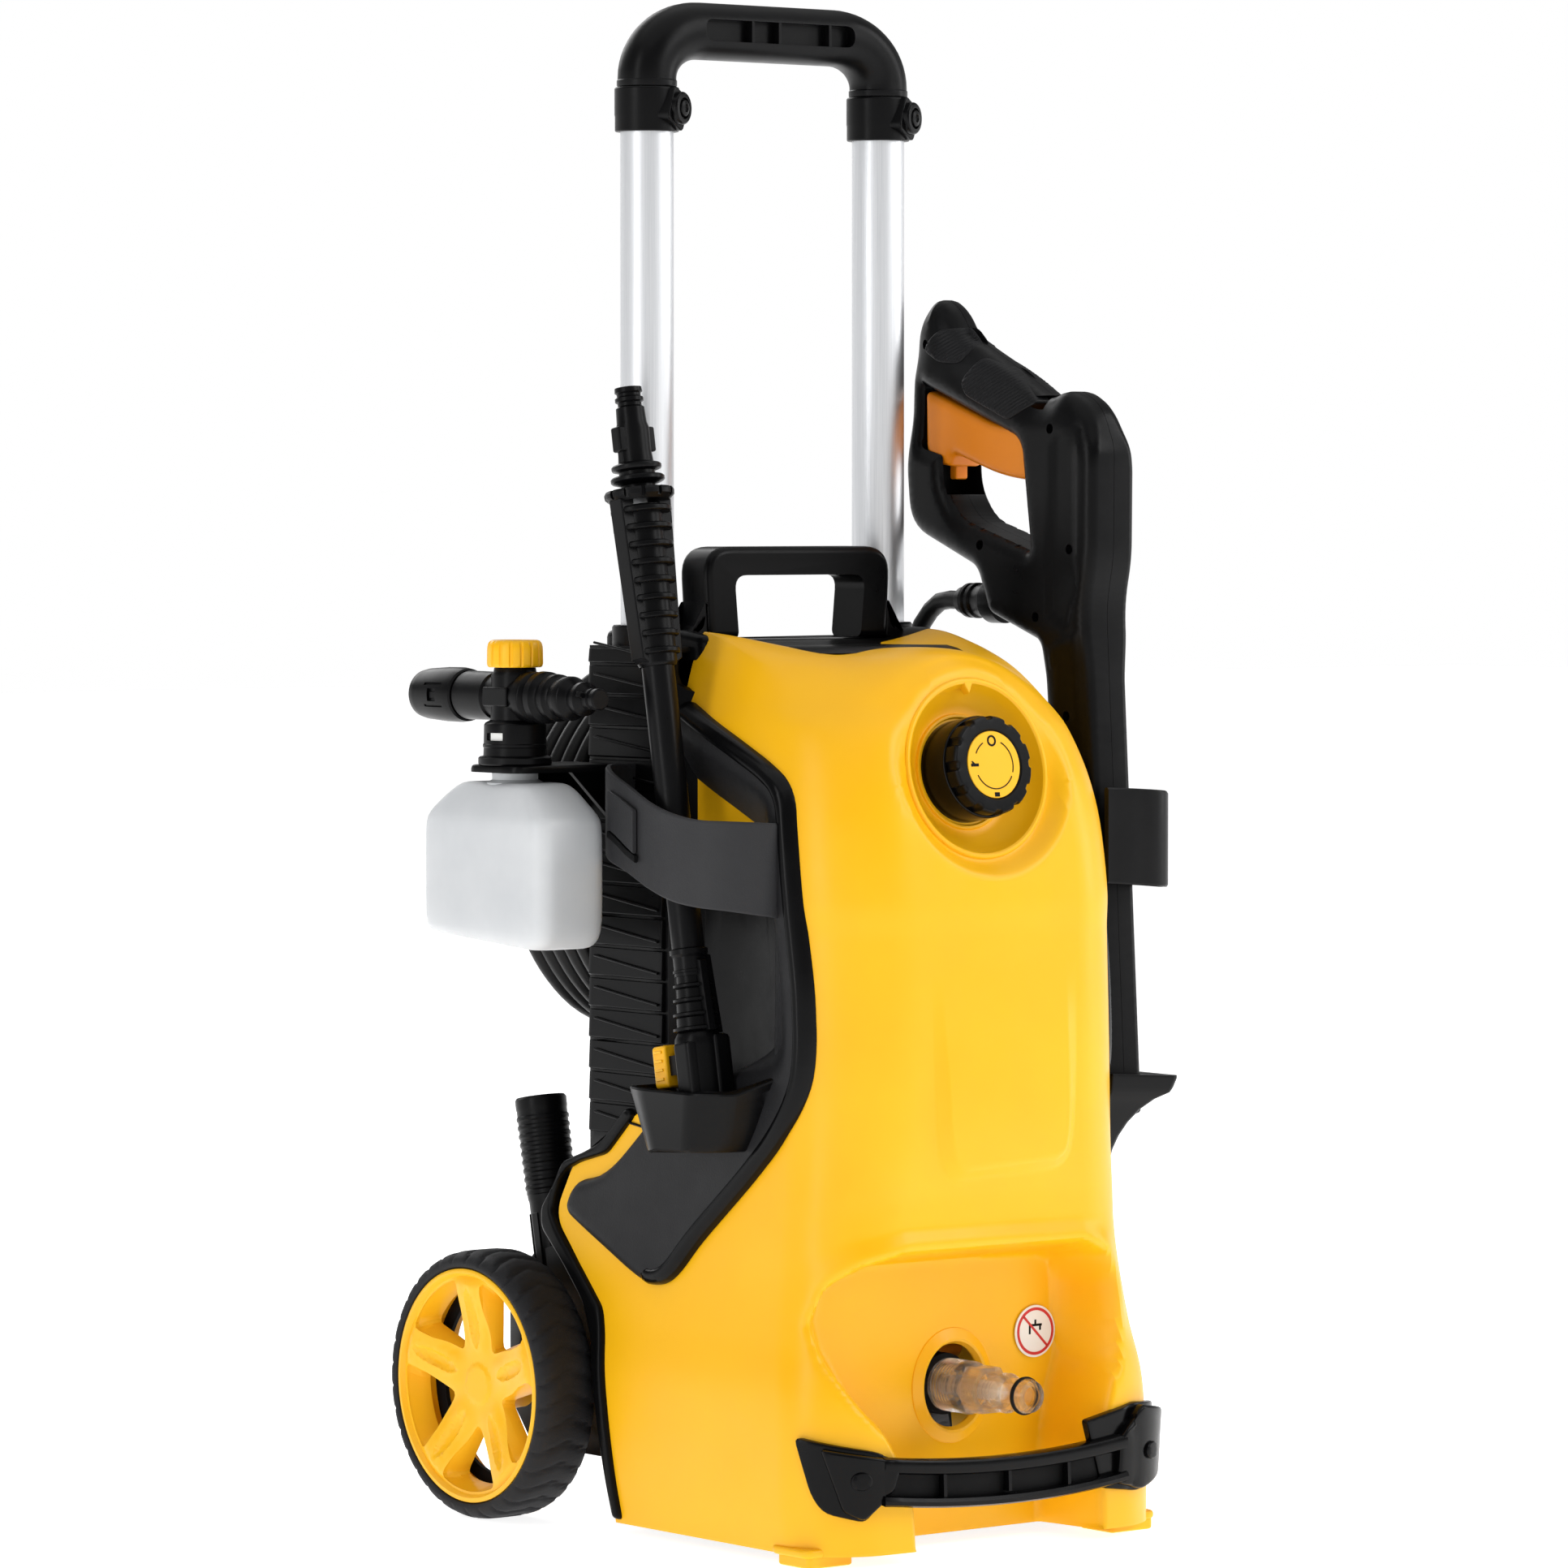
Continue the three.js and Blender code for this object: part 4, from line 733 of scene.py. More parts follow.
def front_cover():
    obj = raw_object("front_cover_shell", cover_shell())
    well = along_knob(lathe([(0, -20), (WELL["floor"] + 1, -20), (WELL["floor"] + 1, 4),
                             (WELL["rim"] + 0.4, WELL["plane"]),
                             (WELL["rim"] + 1.0, 60), (0, 60)], 96))
    side = prism("yz", rounded(SIDE_EDGE, 8, 8), -170, 170)
    hole = aim(lathe([(0, -20), (20, -20), (20, 60), (0, 60)], 64), (0, -1, 0), 0, 0, 0)
    hole = moved((hole[0] * np.array([1.0, 1.0, 1.12]), hole[1]), -1, -110, 82)
    boolean(obj, "DIFFERENCE", side, well, hole)
    soften(obj, 0, sharp=34)
    finish_piece(obj, YELLOW, "chassis", ("front_cover",))

    rim, plane, floor, level = WELL["rim"], WELL["plane"], WELL["floor"], WELL["level"]
    profile = [(floor - 9, level - 3), (floor + 1.5, level - 3), (rim + 1.2, plane - 3), (rim + 2.4, plane - 1.5),
               (rim + 2.4, plane + 0.4), (rim + 1.6, plane + 1.3), (rim + 0.3, plane + 1.4),
               (rim - 0.8, plane + 0.7),
               (rim - 1.4, plane - 1.2), (rim - 3.6, plane - 6), (floor + 0.6, level + 3.5),
               (floor - 1.6, level + 1.0),
               (floor - 4.5, level), (30.2, level), (29.6, level + 1.6), (28.2, level + 1.6), (27.6, level),
               (9, level),
               (9, level - 3)]
    bowl = lathe(profile, 128)
    notch = prism("xy", [(-3.6, rim + 1.0), (3.6, rim + 1.0), (0, rim - 6.0)], plane - 4, plane + 1.2, 0.5)
    piece("knob_bowl", join(along_knob(bowl), along_knob(notch)), YELLOW, "chassis",
          width=0.3, sharp=50)

    # lip of the inlet's opening, a shallow oval dish in the niche's floor
    dish = lathe([(19.2, 0.4), (20.5, -2.6), (21.8, -3.0), (26.5, -0.6), (27.0, 0.6), (25.0, 2.2), (20.5, 2.2)], 80)
    dish = aim(dish, (0, 1, 0), -1, ARCH_FLOOR, 82)
    piece("inlet_collar", (((dish[0] - [-1, 0, 82]) * [1.0, 1.0, 1.12]) + [-1, 0, 82], dish[1]), YELLOW, "chassis",
          width=0, sharp=40)


front_cover()

# ------------------------------------------------------------------ side inserts
_fine_rows = resample(COVER_ROWS, 2.0)


def side_x(y, z):
    """Half-width of the cover's skin at a point of its side."""
    order = np.argsort(_fine_rows[:, 0])
    w, f, r = (np.interp(z, _fine_rows[order, 0], _fine_rows[order, k]) for k in (1, 2, 3))
    into = (f + r - y).clip(0, None)
    return w - r + np.sqrt((r ** 2 - np.minimum(into, r * 0.98) ** 2))


def densify(outline, step):
    """The same outline with points no further apart than about a step."""
    o, out = np.asarray(outline, float), []
    for a, b in zip(o, np.roll(o, -1, 0)):
        k = max(1, int(round(np.linalg.norm(b - a) / step)))
        out += [a + (b - a) * i / k for i in range(k)]
    return np.array(out)


def plate(outline, height, rings=(0.7, 1.6, 2.8, 4.2, 6.0, 8.5), spacing=5.0, back=0.0, features=()):
    """A closed relief over an outline: height(u, v, depth inside the edge) gives its front. Features are further
    outlines that the surface has its points along."""
    o = densify(outline, spacing * 0.8)
    n = len(o)
    lo, hi = o.min(0), o.max(0)
    u, v = np.meshgrid(np.arange(lo[0], hi[0], spacing), np.arange(lo[1], hi[1], spacing))
    inner = np.column_stack([u.ravel(), v.ravel()])
    inner = inner[distance_to(o, inner[:, 0], inner[:, 1]) > rings[-1] + spacing * 0.5]
    extra = []
    for d in rings:
        ring = offset(o, -d)
        extra.append(ring[distance_to(o, ring[:, 0], ring[:, 1]) > d * 0.93])
    for ring in features:
        ring = densify(ring, spacing * 0.8)
        extra.append(ring[distance_to(o, ring[:, 0], ring[:, 1]) > 1.0])
    points = np.vstack([o] + extra + [inner])
    verts, _, faces, orig, _, _ = delaunay_2d_cdt([Vector(p) for p in points], [(i, (i + 1) % n) for i in range(n)],
                                                  [], 1, 1e-4)
    verts = np.array([tuple(p) for p in verts])
    first = {}
    for i, src in enumerate(orig):
        for s in src:
            first[s] = i
    d = distance_to(o, verts[:, 0], verts[:, 1]).clip(0, None)
    for s in range(n):
        d[first[s]] = 0.0
    front = height(verts[:, 0], verts[:, 1], d)
    m = len(verts)
    top = np.column_stack([verts, front])
    low = np.column_stack([verts, np.full(m, back) if np.isscalar(back) else back(verts[:, 0], verts[:, 1])])
    quads = [(first[(i + 1) % n], first[i], first[i] + m, first[(i + 1) % n] + m) for i in range(n)]
    front_faces, back_faces = [tuple(f) for f in faces], [tuple(i + m for i in reversed(f)) for f in faces]
    return shape(np.vstack([top, low]), front_faces + back_faces + quads)


def round_over(d, height, radius):
    t = (1 - d / radius).clip(0, 1)
    return height * np.sqrt(1 - t * t)


INSERT_FRONT = [
    (-19, 436), (-45, 425), (-74, 414), (-99, 404), (-112, 396.5), (-119, 386), (-123, 365), (-127, 338),
                (-131.5, 308), (-134, 290),
    (-135.5, 262), (-134, 243), (-127, 227), (-113, 209.5), (-92, 190), (-71, 172), (-52, 155.5), (-39, 141.5),
                (-31, 135),
    (-21, 132), (-10, 133), (4, 138),
]
INSERT = INSERT_FRONT + [
    (44, 155.5), (58, 162), (61, 167), (57.5, 175.5), (51, 181), (35, 184), (22, 191), (10, 201), (-8, 217),
                         (-30, 232), (-62, 240),
    (-84, 252), (-90, 275), (-88, 310), (-84, 350), (-72, 366), (-45, 378), (-12, 394),
]


def side_insert(name, mirror, nodes):
    outline = rounded(INSERT, 9, 3)
    front = rounded(INSERT_FRONT + [(140, 100, 0), (140, 440, 0)], 9, 3)

    def height(y, z, d):
        deep = distance_to(front, y, z).clip(0, None)
        rise = 0.4 + round_over(d, 5.6, 7.0)
        slope = ease((z - 240) / 25)
        fall = (deep - 12.5).clip(0, None)
        return rise - slope * (0.5 * fall + 0.25 * (fall - 6).clip(0, None))

    s = plate(outline, height, spacing=4.0, back=lambda y, z: -1.5 - 16 * ease((z - 236) / 20) * ease((y + 108) / 26))
    p = s[0]
    x = -(side_x(p[:, 0], p[:, 1]) + p[:, 2])
    s = (np.column_stack([x, p[:, 0], p[:, 1]]), s[1])
    if mirror:
        s = flip_x(s)
    piece(name, s, GREY_SIDE, "chassis", nodes, width=0, sharp=40)
    # glossy raised edge along the insert's front
    spine = rounded([(p[0], p[1]) for p in INSERT_FRONT[:-1]], 9, 3)
    spine = smooth_path([tuple(q) for q in spine[distance_to(offset(outline, -3.0), spine[:, 0], spine[:, 1]) < 0]],
                        1)
    tangent = np.gradient(spine, axis=0)
    tangent /= np.linalg.norm(tangent, axis=1, keepdims=True)
    inward = np.column_stack([-tangent[:, 1], tangent[:, 0]])
    rings = []
    for (y, z), (a, b) in zip(spine, inward):
        ring = []
        for across, out in ((-0.6, 0.2), (-0.2, 3.2), (1.2, 5.6), (3.4, 7.2), (6.0, 7.4), (7.6, 6.6), (8.2, 4.6),
                            (8.2, 1.0)):
            v, w = y + a * across, z + b * across
            ring.append((-(side_x(np.array(v), np.array(w)) + out), v, w))
        rings.append(ring)
    edge = loft(rings)
    piece(name + "_edge", flip_x(edge) if mirror else edge, GLOSS, "chassis", width=0, sharp=45)


GREY_SIDE = moulded("side_textured", "grey_plastic", (25, 25, 27), (30, 30, 32), 0.5, 900, 0.2, (46, 46, 48), 0.2,
                    Specular_IOR_Level=0.25)
ARCH_EDGE = [(6, 8), (28, 99), (40, 118), (62, 137), (82, 153), (84, 164), (74, 178), (68, 190), (50, 196),
             (36, 202), (14, 222),
             (8, 218), (31, 196), (54, 190), (65, 185), (72, 176), (74.5, 163), (66, 152), (24, 116), (19, 102),
             (0, 8)]


def arch_edge(name, mirror):
    s = plate(rounded(ARCH_EDGE, 4, 3), lambda y, z, d: 0.3 + round_over(d, 3.2, 2.6), rings=(0.5, 1.1, 1.9, 2.8),
              spacing=3.0,
              back=-2.5)
    p = s[0]
    s = (np.column_stack([-(side_x(p[:, 0], p[:, 1]) + p[:, 2]), p[:, 0], p[:, 1]]), s[1])
    piece(name, flip_x(s) if mirror else s, BLACK, "chassis", width=0, sharp=40)


for _side, _mirror in (("left", False), ("right", True)):
    side_insert("side_insert_" + _side, _mirror, ("side_trim_" + _side,))
    arch_edge("arch_edge_" + _side, _mirror)


def pocket_plate(mirror):
    """The yellow inner face seen in the recess between the insert's edge and the strap."""
    s = prism("yz", rounded([(-94, 330), (-94, 384), (-84, 392), (-8, 414), (-6, 330)], 4), -86.8, -84.6, 0.5)
    piece("pocket_face_" + ("right" if mirror else "left"), flip_x(s) if mirror else s, YELLOW, "chassis",
          width=0.3)


pocket_plate(False)


# ------------------------------------------------------------------ vented pillars of the rear housing
def pillar(mirror):
    slats = []
    pitch, low, high = 16.4, 206.0, 455.0
    z = low
    while z < high:
        top = min(z + pitch, 461.0)
        rear = 49.6
        front = -13.0
        # each slat leans out towards its lower edge, and its upper corner is cut back along a slant
        ring = lambda y, lean: [(-100.2 - lean, y, z + 1.0), (-101.2 - lean * 0.6, y, z + 1.6),
                                (-100.6 - lean * 0.3, y, top - 0.6),
                                (-99.0, y, top - 0.2), (-98.4, y, z + 0.6)]
        slats.append(loft([ring(front, 0.0), ring(front + 3, 0.5), ring((front + rear) / 2, 0.9),
                           ring(rear - 3, 1.1), ring(rear, 0.2)]))
        slant = sweep([(-102.1, front + 2, z + 4.5), (-102.3, front + 22, z + 7.0), (-102.0, rear - 6, z + 11.5)],
                      0.7)
        slats.append(slant)
        z += pitch
    s = join(*slats)
    piece("vent_slats_" + ("right" if mirror else "left"), flip_x(s) if mirror else s, BLACK, "chassis", width=0.25)


pillar(False)
pillar(True)


# ------------------------------------------------------------------ lance strap
def ribbon(path, tops, bottoms, thick, per=8, round_edge=1.2):
    """A strap on edge: a plan path, with the heights of its two edges along it."""
    line = smooth_path([(x, y, t, b) for (x, y), t, b in zip(path, tops, bottoms)], per)
    t = np.gradient(line[:, :2], axis=0)
    t /= np.linalg.norm(t, axis=1, keepdims=True)
    normal = np.column_stack([t[:, 1], -t[:, 0]])
    rings = []
    h, r = thick / 2, round_edge
    for (x, y, top, low), nrm in zip(line, normal):
        section = [(-h, low + r), (-h + r * 0.6, low), (h - r * 0.6, low), (h, low + r), (h, top - r),
                   (h - r * 0.6, top),
                   (-h + r * 0.6, top), (-h, top - r)]
        rings.append([(x + nrm[0] * u, y + nrm[1] * u, v) for u, v in section])
    return loft(rings)


def lance_strap():
    path = [(-100.5, -114), (-107, -113.5), (-116, -110), (-127, -101), (-135, -88), (-138.2, -72), (-137, -52),
            (-132.5, -27),
            (-128.5, -6), (-120, 6), (-108, 10), (-99, 10.5)]
    tops = [374, 374.5, 375, 375.5, 376, 378.5, 383, 391, 398, 401, 401, 401]
    lows = [325, 326.5, 328, 330, 331.5, 334, 339, 346.5, 352, 354, 354, 354]
    body = ribbon(path, tops, lows, 3.4)
    pad_path = [(-138.4, -39), (-136.5, -30), (-134, -19), (-131.8, -9)]
    pad = ribbon(pad_path, [379.5, 382.5, 386, 388.5], [357, 360.5, 365, 368.5], 2.4, 5, 0.7)
    piece("lance_strap_band", body, GREY, "chassis", ("lance_strap",), width=0, sharp=50)
    piece("lance_strap_pad", pad, GREY, "chassis", width=0.3)
    slot = ribbon([(-138.6, -40.5), (-136.7, -30), (-134.2, -19), (-131.8, -8.5)], [356, 359.5, 364, 367.5],
                  [352.5, 356, 360.5, 364], 2.2, 5, 0.6)
    piece("lance_strap_slot", slot, INNER, "chassis", width=0)


lance_strap()


def cup(name, plan_top, plan_low, z_top, z_low, wall, pocket_low, material, node, lift=None, mirror=False, holes=(),
        flare=((0, 0), (1, 1))):
    """A shallow holder: an outer wall that tapers down, and a pocket from the top."""
    top, low = rounded(plan_top, 5, 4), rounded(plan_low, 5, 4)
    rings = []
    wide = lambda t: np.interp(t, [a for a, _ in flare], [b for _, b in flare])
    for t in (0.0, 0.04, 0.15, 0.3, 0.45, 0.6, 0.72, 0.8, 0.86, 0.97, 1.0):
        inset = {0.0: 1.0, 1.0: 0.6}.get(t, 0.0)
        q = offset(low * (1 - wide(t)) + top * wide(t), -inset)
        z = np.full(len(q), z_low + (z_top - z_low) * t)
        if lift is not None:
            z = z + lift(q, t)
        rings.append(np.column_stack([q, z]))
    inside = [rounded(offset(np.array([c[:2] for c in plan], float), -wall), 4, 4) for plan in (plan_low, plan_top)]
    cavity = []
    for t, z in (((pocket_low - z_low) / (z_top - z_low), pocket_low), (1.0, z_top), (1.0, z_top + 30)):
        q = inside[0] * (1 - wide(t)) + inside[1] * wide(t)
        cavity.append(np.column_stack([q, np.full(len(q), z)]))
    pocket = loft(cavity)
    s = loft(rings)
    if mirror:
        s, pocket = flip_x(s), flip_x(pocket)
    return piece(name, s, material, "chassis", (node,), width=0.5, holes=[pocket] + list(holes))


# Both outlines run with the same corners, from the cover outwards.
cup("lance_holder",
    [(-101, -116, 1), (-128, -104), (-140, -86), (-140, -44), (-134, -27), (-101, -25, 1)],
    [(-101, -94, 1), (-120, -89), (-135, -78), (-137, -50), (-129, -38), (-101, -36, 1)],
    237, 206, 3.0, 220, BLACK, "lance_cup",
    lift=lambda q, t: 9.0 * t * ease((-96 - q[:, 1]) / 12) * ease((q[:, 0] + 122) / 20) - 3.0 * (1 - t) * ease((q[:,
        1] + 60) / 20))
cup("gun_holder",
    [(102, -136, 1), (150, -136), (150, -70), (102, -70, 1)],
    [(102, -126, 1), (112, -124), (112, -82), (102, -80, 1)],
    238, 190, 3.0, 218, BLACK, "gun_cup",
    lift=lambda q, t: -3.0 * t * ease((q[:, 0] - 100) / 50),
    flare=((0, 0), (0.15, 0.05), (0.3, 0.14), (0.45, 0.27), (0.6, 0.45), (0.72, 0.66), (0.8, 0.88), (0.86, 0.93),
           (1, 1)))


def gun_strap():
    path = [(99, -134), (120, -134.5), (139, -133), (146.8, -125), (148, -108), (148, -84), (146.5, -68),
            (138, -60.5), (118, -60),
            (86, -60)]
    tops = [388, 387, 385.5, 384, 383.5, 383.5, 384, 385, 386, 386]
    lows = [338, 336.5, 335, 334, 334, 334, 334.5, 335, 336, 336]
    piece("gun_strap_band", ribbon(path, tops, lows, 3.4), BLACK, "chassis", ("gun_strap",), width=0, sharp=50)


gun_strap()

# ------------------------------------------------------------------ trolley handle
def poles():
    for sign, side in ((-1, "left"), (1, "right")):
        s = lathe([(POLE_R - 1.5, 268), (POLE_R - 0.4, 268), (POLE_R, 268.6), (POLE_R, 751.4), (POLE_R - 0.4, 752),
                   (POLE_R - 1.5, 752)], 64)
        piece("pole_tube_" + side, moved(s, sign * POLE_X, POLE_Y), ALUMINIUM, "trolley_handle", ("pole_" + side,),
              width=0)


def collars():
    direction = np.array([0.45, -1, 0]) / math.hypot(0.45, 1)
    for sign, side in ((-1, "left"), (1, "right")):
        r = POLE_R + 3
        sleeve = lathe([(POLE_R + 0.2, 730.4), (r - 0.8, 730), (r - 0.2, 730.6), (r - 0.2, 738), (r, 739),
                        (r, 752.6), (r - 0.6, 753.4),
                        (POLE_R + 0.2, 753.4)], 64)
        # flat pad that carries the screw
        pad = aim(prism("xy", rounded([(-9, -9.5), (9, -9.5), (9, 9.5), (-9, 9.5)], 3), 9, r + 2.2, 0.8), direction,
                  0, 0, 742)
        boss = aim(lathe([(0, 12), (8.6, 12), (8.6, r + 4.5), (7.8, r + 5.4), (5.6, r + 5.6), (5.4, r + 3.4),
                          (0, r + 3.4)], 40), direction, 0, 0, 742)
        screw = aim(lathe([(0, 14), (4.6, 14), (4.6, r + 4.6), (4.2, r + 6.0), (2.2, r + 6.6), (1.9, r + 5.4),
                           (0, r + 5.4)], 32), direction, 0, 0, 742)
        at = lambda q: moved(q, sign * POLE_X, POLE_Y)
        piece("collar_ring_" + side, at(join(sleeve, pad)), BLACK, "trolley_handle", ("collar_" + side,),
              width=0.35)
        piece("collar_boss_" + side, at(boss), GLOSS, "trolley_handle", width=0.25)
        piece("collar_screw_" + side, at(screw), BLACK, "trolley_handle", width=0.15)


def grip():
    r, bend, top = 15.0, 48.0, 799.0
    up, arc = top - r, bend - r
    half = [(-POLE_X, POLE_Y, 754.2), (-POLE_X, POLE_Y, 758)]
    for i in range(1, 17):
        a = i / 16 * math.pi / 2
        half.append((-POLE_X + arc * (1 - math.cos(a)), POLE_Y, 758 + (up - 758) * math.sin(a)))
    half += [(x, POLE_Y, up) for x in (-38, -28, -16, -5)]
    path = half + [(-x, y, z) for x, y, z in reversed(half)]
    a = np.arange(40) * math.pi / 20
    # slightly squared section
    section = np.column_stack([np.cos(a), np.sin(a)]) * r
    section = np.sign(section) * np.abs(section / r) ** 0.92 * r
    body = sweep(path, section, up=(0, 1, 0))
    channel = prism("xz", rounded([(-50, up - 5.6), (50, up - 5.6), (50, up + 5.6), (-50, up + 5.6)], 5),
                    POLE_Y - r - 3, POLE_Y - r + 6.5)
    piece("handle_grip", body, BLACK, "trolley_handle", ("grip",), width=0.5, holes=[channel])
    ribs = [prism("xz", [(x - 0.9, up - 5.8), (x + 0.9, up - 5.8), (x + 0.9, up + 5.8), (x - 0.9, up + 5.8)],
                  POLE_Y - r + 1.2, POLE_Y - r + 7.0)
            for x in (-18, 0, 34)]
    piece("grip_ribs", join(*ribs), BLACK, "trolley_handle", width=0.2)
    # seam ring where the moulding meets each collar
    seams = [moved(lathe([(13, 753.6), (r + 0.4, 753.6), (r + 0.8, 754.2), (r + 0.8, 756.8), (r + 0.2, 757.4),
                          (13, 757.4)], 56), s * POLE_X, POLE_Y)
             for s in (-1, 1)]
    piece("grip_seams", join(*seams), BLACK, "trolley_handle", width=0)


poles()
collars()
grip()


# ------------------------------------------------------------------ carrying handle
def carry_handle():
    z0, top, y0, y1, half = 462.4, 513.6, -2.0, 23.0, 63.0
    outer = rounded([(-half + 3, z0 + 3, 0), (-half, top, 17), (half, top, 17), (half - 3, z0 + 3, 0)], 8, 8)
    inner = rounded([(-41, z0 + 3.2, 0), (-44, top - 15, 8), (44, top - 15, 8), (41, z0 + 3.2, 0)], 8, 6)
    hoop = prism("xz", outer, y0, y1, 4.0, 5)
    hole = prism("xz", inner, y0 - 5, y1 + 5)
    back = prism("xz", rounded([(-36, top - 9), (36, top - 9), (36, top - 4), (-36, top - 4)], 2), y1 - 8, y1 + 5)
    piece("carry_hoop", hoop, BLACK, "chassis", ("carry_handle",), width=0.9, holes=[hole, back])

    # foot that fills the saddle between the cover's shoulders, with wings that run out along its edge
    def foot_height(x, y):
        wing = ease((np.abs(x) - 58) / 20)
        return 464.5 + 5.8 * wing - 3.0 * ease((-4 - y) / 24)
    outline = rounded([(-82, -24), (-60, -30), (-30, -33), (30, -33), (60, -30), (82, -24), (88, 2), (92, 30),
                       (92, 49), (-92, 49),
                       (-92, 30), (-88, 2)], 6, 4)
    s = plate(outline, lambda x, y, d: foot_height(x, y) - 4 + round_over(d, 4.0, 5.0), spacing=5.0, back=455.0)
    holes = [moved(lathe([(0, 440), (POLE_R + 1.2, 440), (POLE_R + 1.2, 480), (0, 480)], 48), sx * POLE_X,
                   POLE_Y) for sx in (-1, 1)]
    piece("deck_cover", s, BLACK, "chassis", width=0, sharp=38, holes=holes)
    rings = [moved(lathe([(POLE_R + 0.5, 455), (POLE_R + 4.5, 455), (POLE_R + 4.5, 471.5), (POLE_R + 3.6, 472.6),
                          (POLE_R + 0.9, 472.6),
                          (POLE_R + 0.5, 472)], 56), sx * POLE_X, POLE_Y) for sx in (-1, 1)]
    piece("pole_guides", join(*rings), BLACK, "chassis", width=0)
    gussets = [prism("xz", rounded([(sx * 60, 465), (sx * 75, 465), (sx * 64, 472), (sx * 61, 486)], 2), 0, 21,
                     1.0) for sx in (-1, 1)]
    piece("hoop_gussets", join(*gussets), BLACK, "chassis", width=0.3)


carry_handle()


# ------------------------------------------------------------------ knob
def knob():
    r = 26.5
    body = lathe([(0, -14), (5, -14), (5, 0.8), (r - 1.6, 0.8), (r - 0.6, 1.8), (r, 3), (r, 20.5), (r - 0.5, 21.2),
                  (r - 0.9, 21.4), (0, 21.4)], 96)
    piece("knob_body", along_knob(body), GLOSS, "switch_knob", ("knob",), width=0)
    outline = []
    n = 240
    for i in range(n):
        a = i / n * 2 * math.pi
        out = 25.6 - 1.5 * ease((math.cos(a * 12) - 0.25) / 0.5)
        outline.append((out * math.cos(a), out * math.sin(a)))
    o = np.array(outline)
    unit = o / np.linalg.norm(o, axis=1, keepdims=True)
    rings = []
    for z, k in ((20.8, 0.97), (21.4, 0.995), (22.2, 1.0), (27.2, 1.0), (28.8, 0.985), (29.8, 0.955),
                 (30.0, 0.915)):
        rings.append(np.column_stack([o * k, np.full(n, z)]))
    rings += [np.column_stack([unit * radius, np.full(n, z)]) for radius, z in ((18.4, 30.0), (17.6, 29.0))]
    piece("knob_ring", along_knob(loft(rings)), BLACK, "switch_knob", width=0, sharp=38)
    piece("knob_badge", along_knob(lathe([(0, 28.5), (17.3, 28.5), (17.3, 29.3), (17.0, 29.6), (0, 29.6)], 72)),
          YELLOW, "switch_knob",
          ("knob_label",), width=0)
    # marks on the badge: a circle for off, a stroke for on, arcs between them, and a pointer
    ink = []
    top = lambda s: moved(s, 0, 0, 29.55)
    arc = lambda r0, a0, a1, w: prism("xy", [((r0 + w / 2) * math.cos(math.radians(t)),
                                              (r0 + w / 2) * math.sin(math.radians(t)))
                                             for t in np.linspace(a0, a1, 24)]
                                      + [((r0 - w / 2) * math.cos(math.radians(t)),
                                          (r0 - w / 2) * math.sin(math.radians(t)))
                                         for t in np.linspace(a1, a0, 24)], 0, 0.25)
    ink += [arc(12.6, 118, 152, 0.55), arc(12.6, 205, 330, 0.55), arc(12.6, -20, 62, 0.55)]
    ring = lathe([(1.9, 0), (2.9, 0), (2.9, 0.25), (1.9, 0.25)], 32)
    ink.append(moved(ring, 0, 12.2, 0))
    ink.append(prism("xy", [(-15.2, -0.8), (-10.2, -0.8), (-10.2, 0.7), (-15.2, 0.7)], 0, 0.25))
    ink.append(prism("xy", [(-14.2, 0.7), (-12.6, 0.7), (-14.0, 2.0), (-14.8, 2.0)], 0, 0.25))
    ink.append(prism("xy", [(-1.6, -16.6), (1.6, -16.6), (1.6, -14.4), (-1.6, -14.4)], 0, 0.25))
    s = top(join(*ink))
    piece("knob_marks", along_knob(s), INNER, "switch_knob", width=0)


knob()

# ------------------------------------------------------------------ wheels
WHEEL_R, WHEEL_IN, WHEEL_OUT, WHEEL_Y = 71.0, 112.0, 148.0, 97.0


def wheel_frame(s, mirror):
    """From wheel axes (z outwards from the body's mid-plane) to the design frame."""
    p = s[0]
    q = np.column_stack([-p[:, 2], p[:, 0] + WHEEL_Y, p[:, 1] + WHEEL_R])
    t = (q, s[1])
    return flip_x(t) if mirror else t


def spoke_height(x, y, d):
    r, a = np.hypot(x, y), np.arctan2(y, x)
    turn_by = (a - math.radians(90) + math.pi / 5) % (2 * math.pi / 5) - math.pi / 5
    along, across = r * np.cos(turn_by), r * np.sin(turn_by)
    dish = -2.2 - 6.0 * ease((57 - r) / 34)
    crown = 2.2 * (1 - (np.abs(across) / (7 + along * 0.16)).clip(0, 1) ** 2) * ease((r - 12) / 14)
    dent = ((along - 35) / 16.5) ** 2 + ((across) / 4.3) ** 2
    groove = -2.6 * (1 - dent.clip(0, 1)) ** 0.6
    lip = ease((r - 57.6) / 1.6)
    face = np.where(r < 58.5, dish + (crown + groove) * ease((57.5 - r) / 3), dish)
    hub = 0.8 * ease((11.5 - r) / 2.0)
    return (face + hub) * (1 - lip) + lip * (-0.2 + 0.6 * np.minimum(d, 1.0))


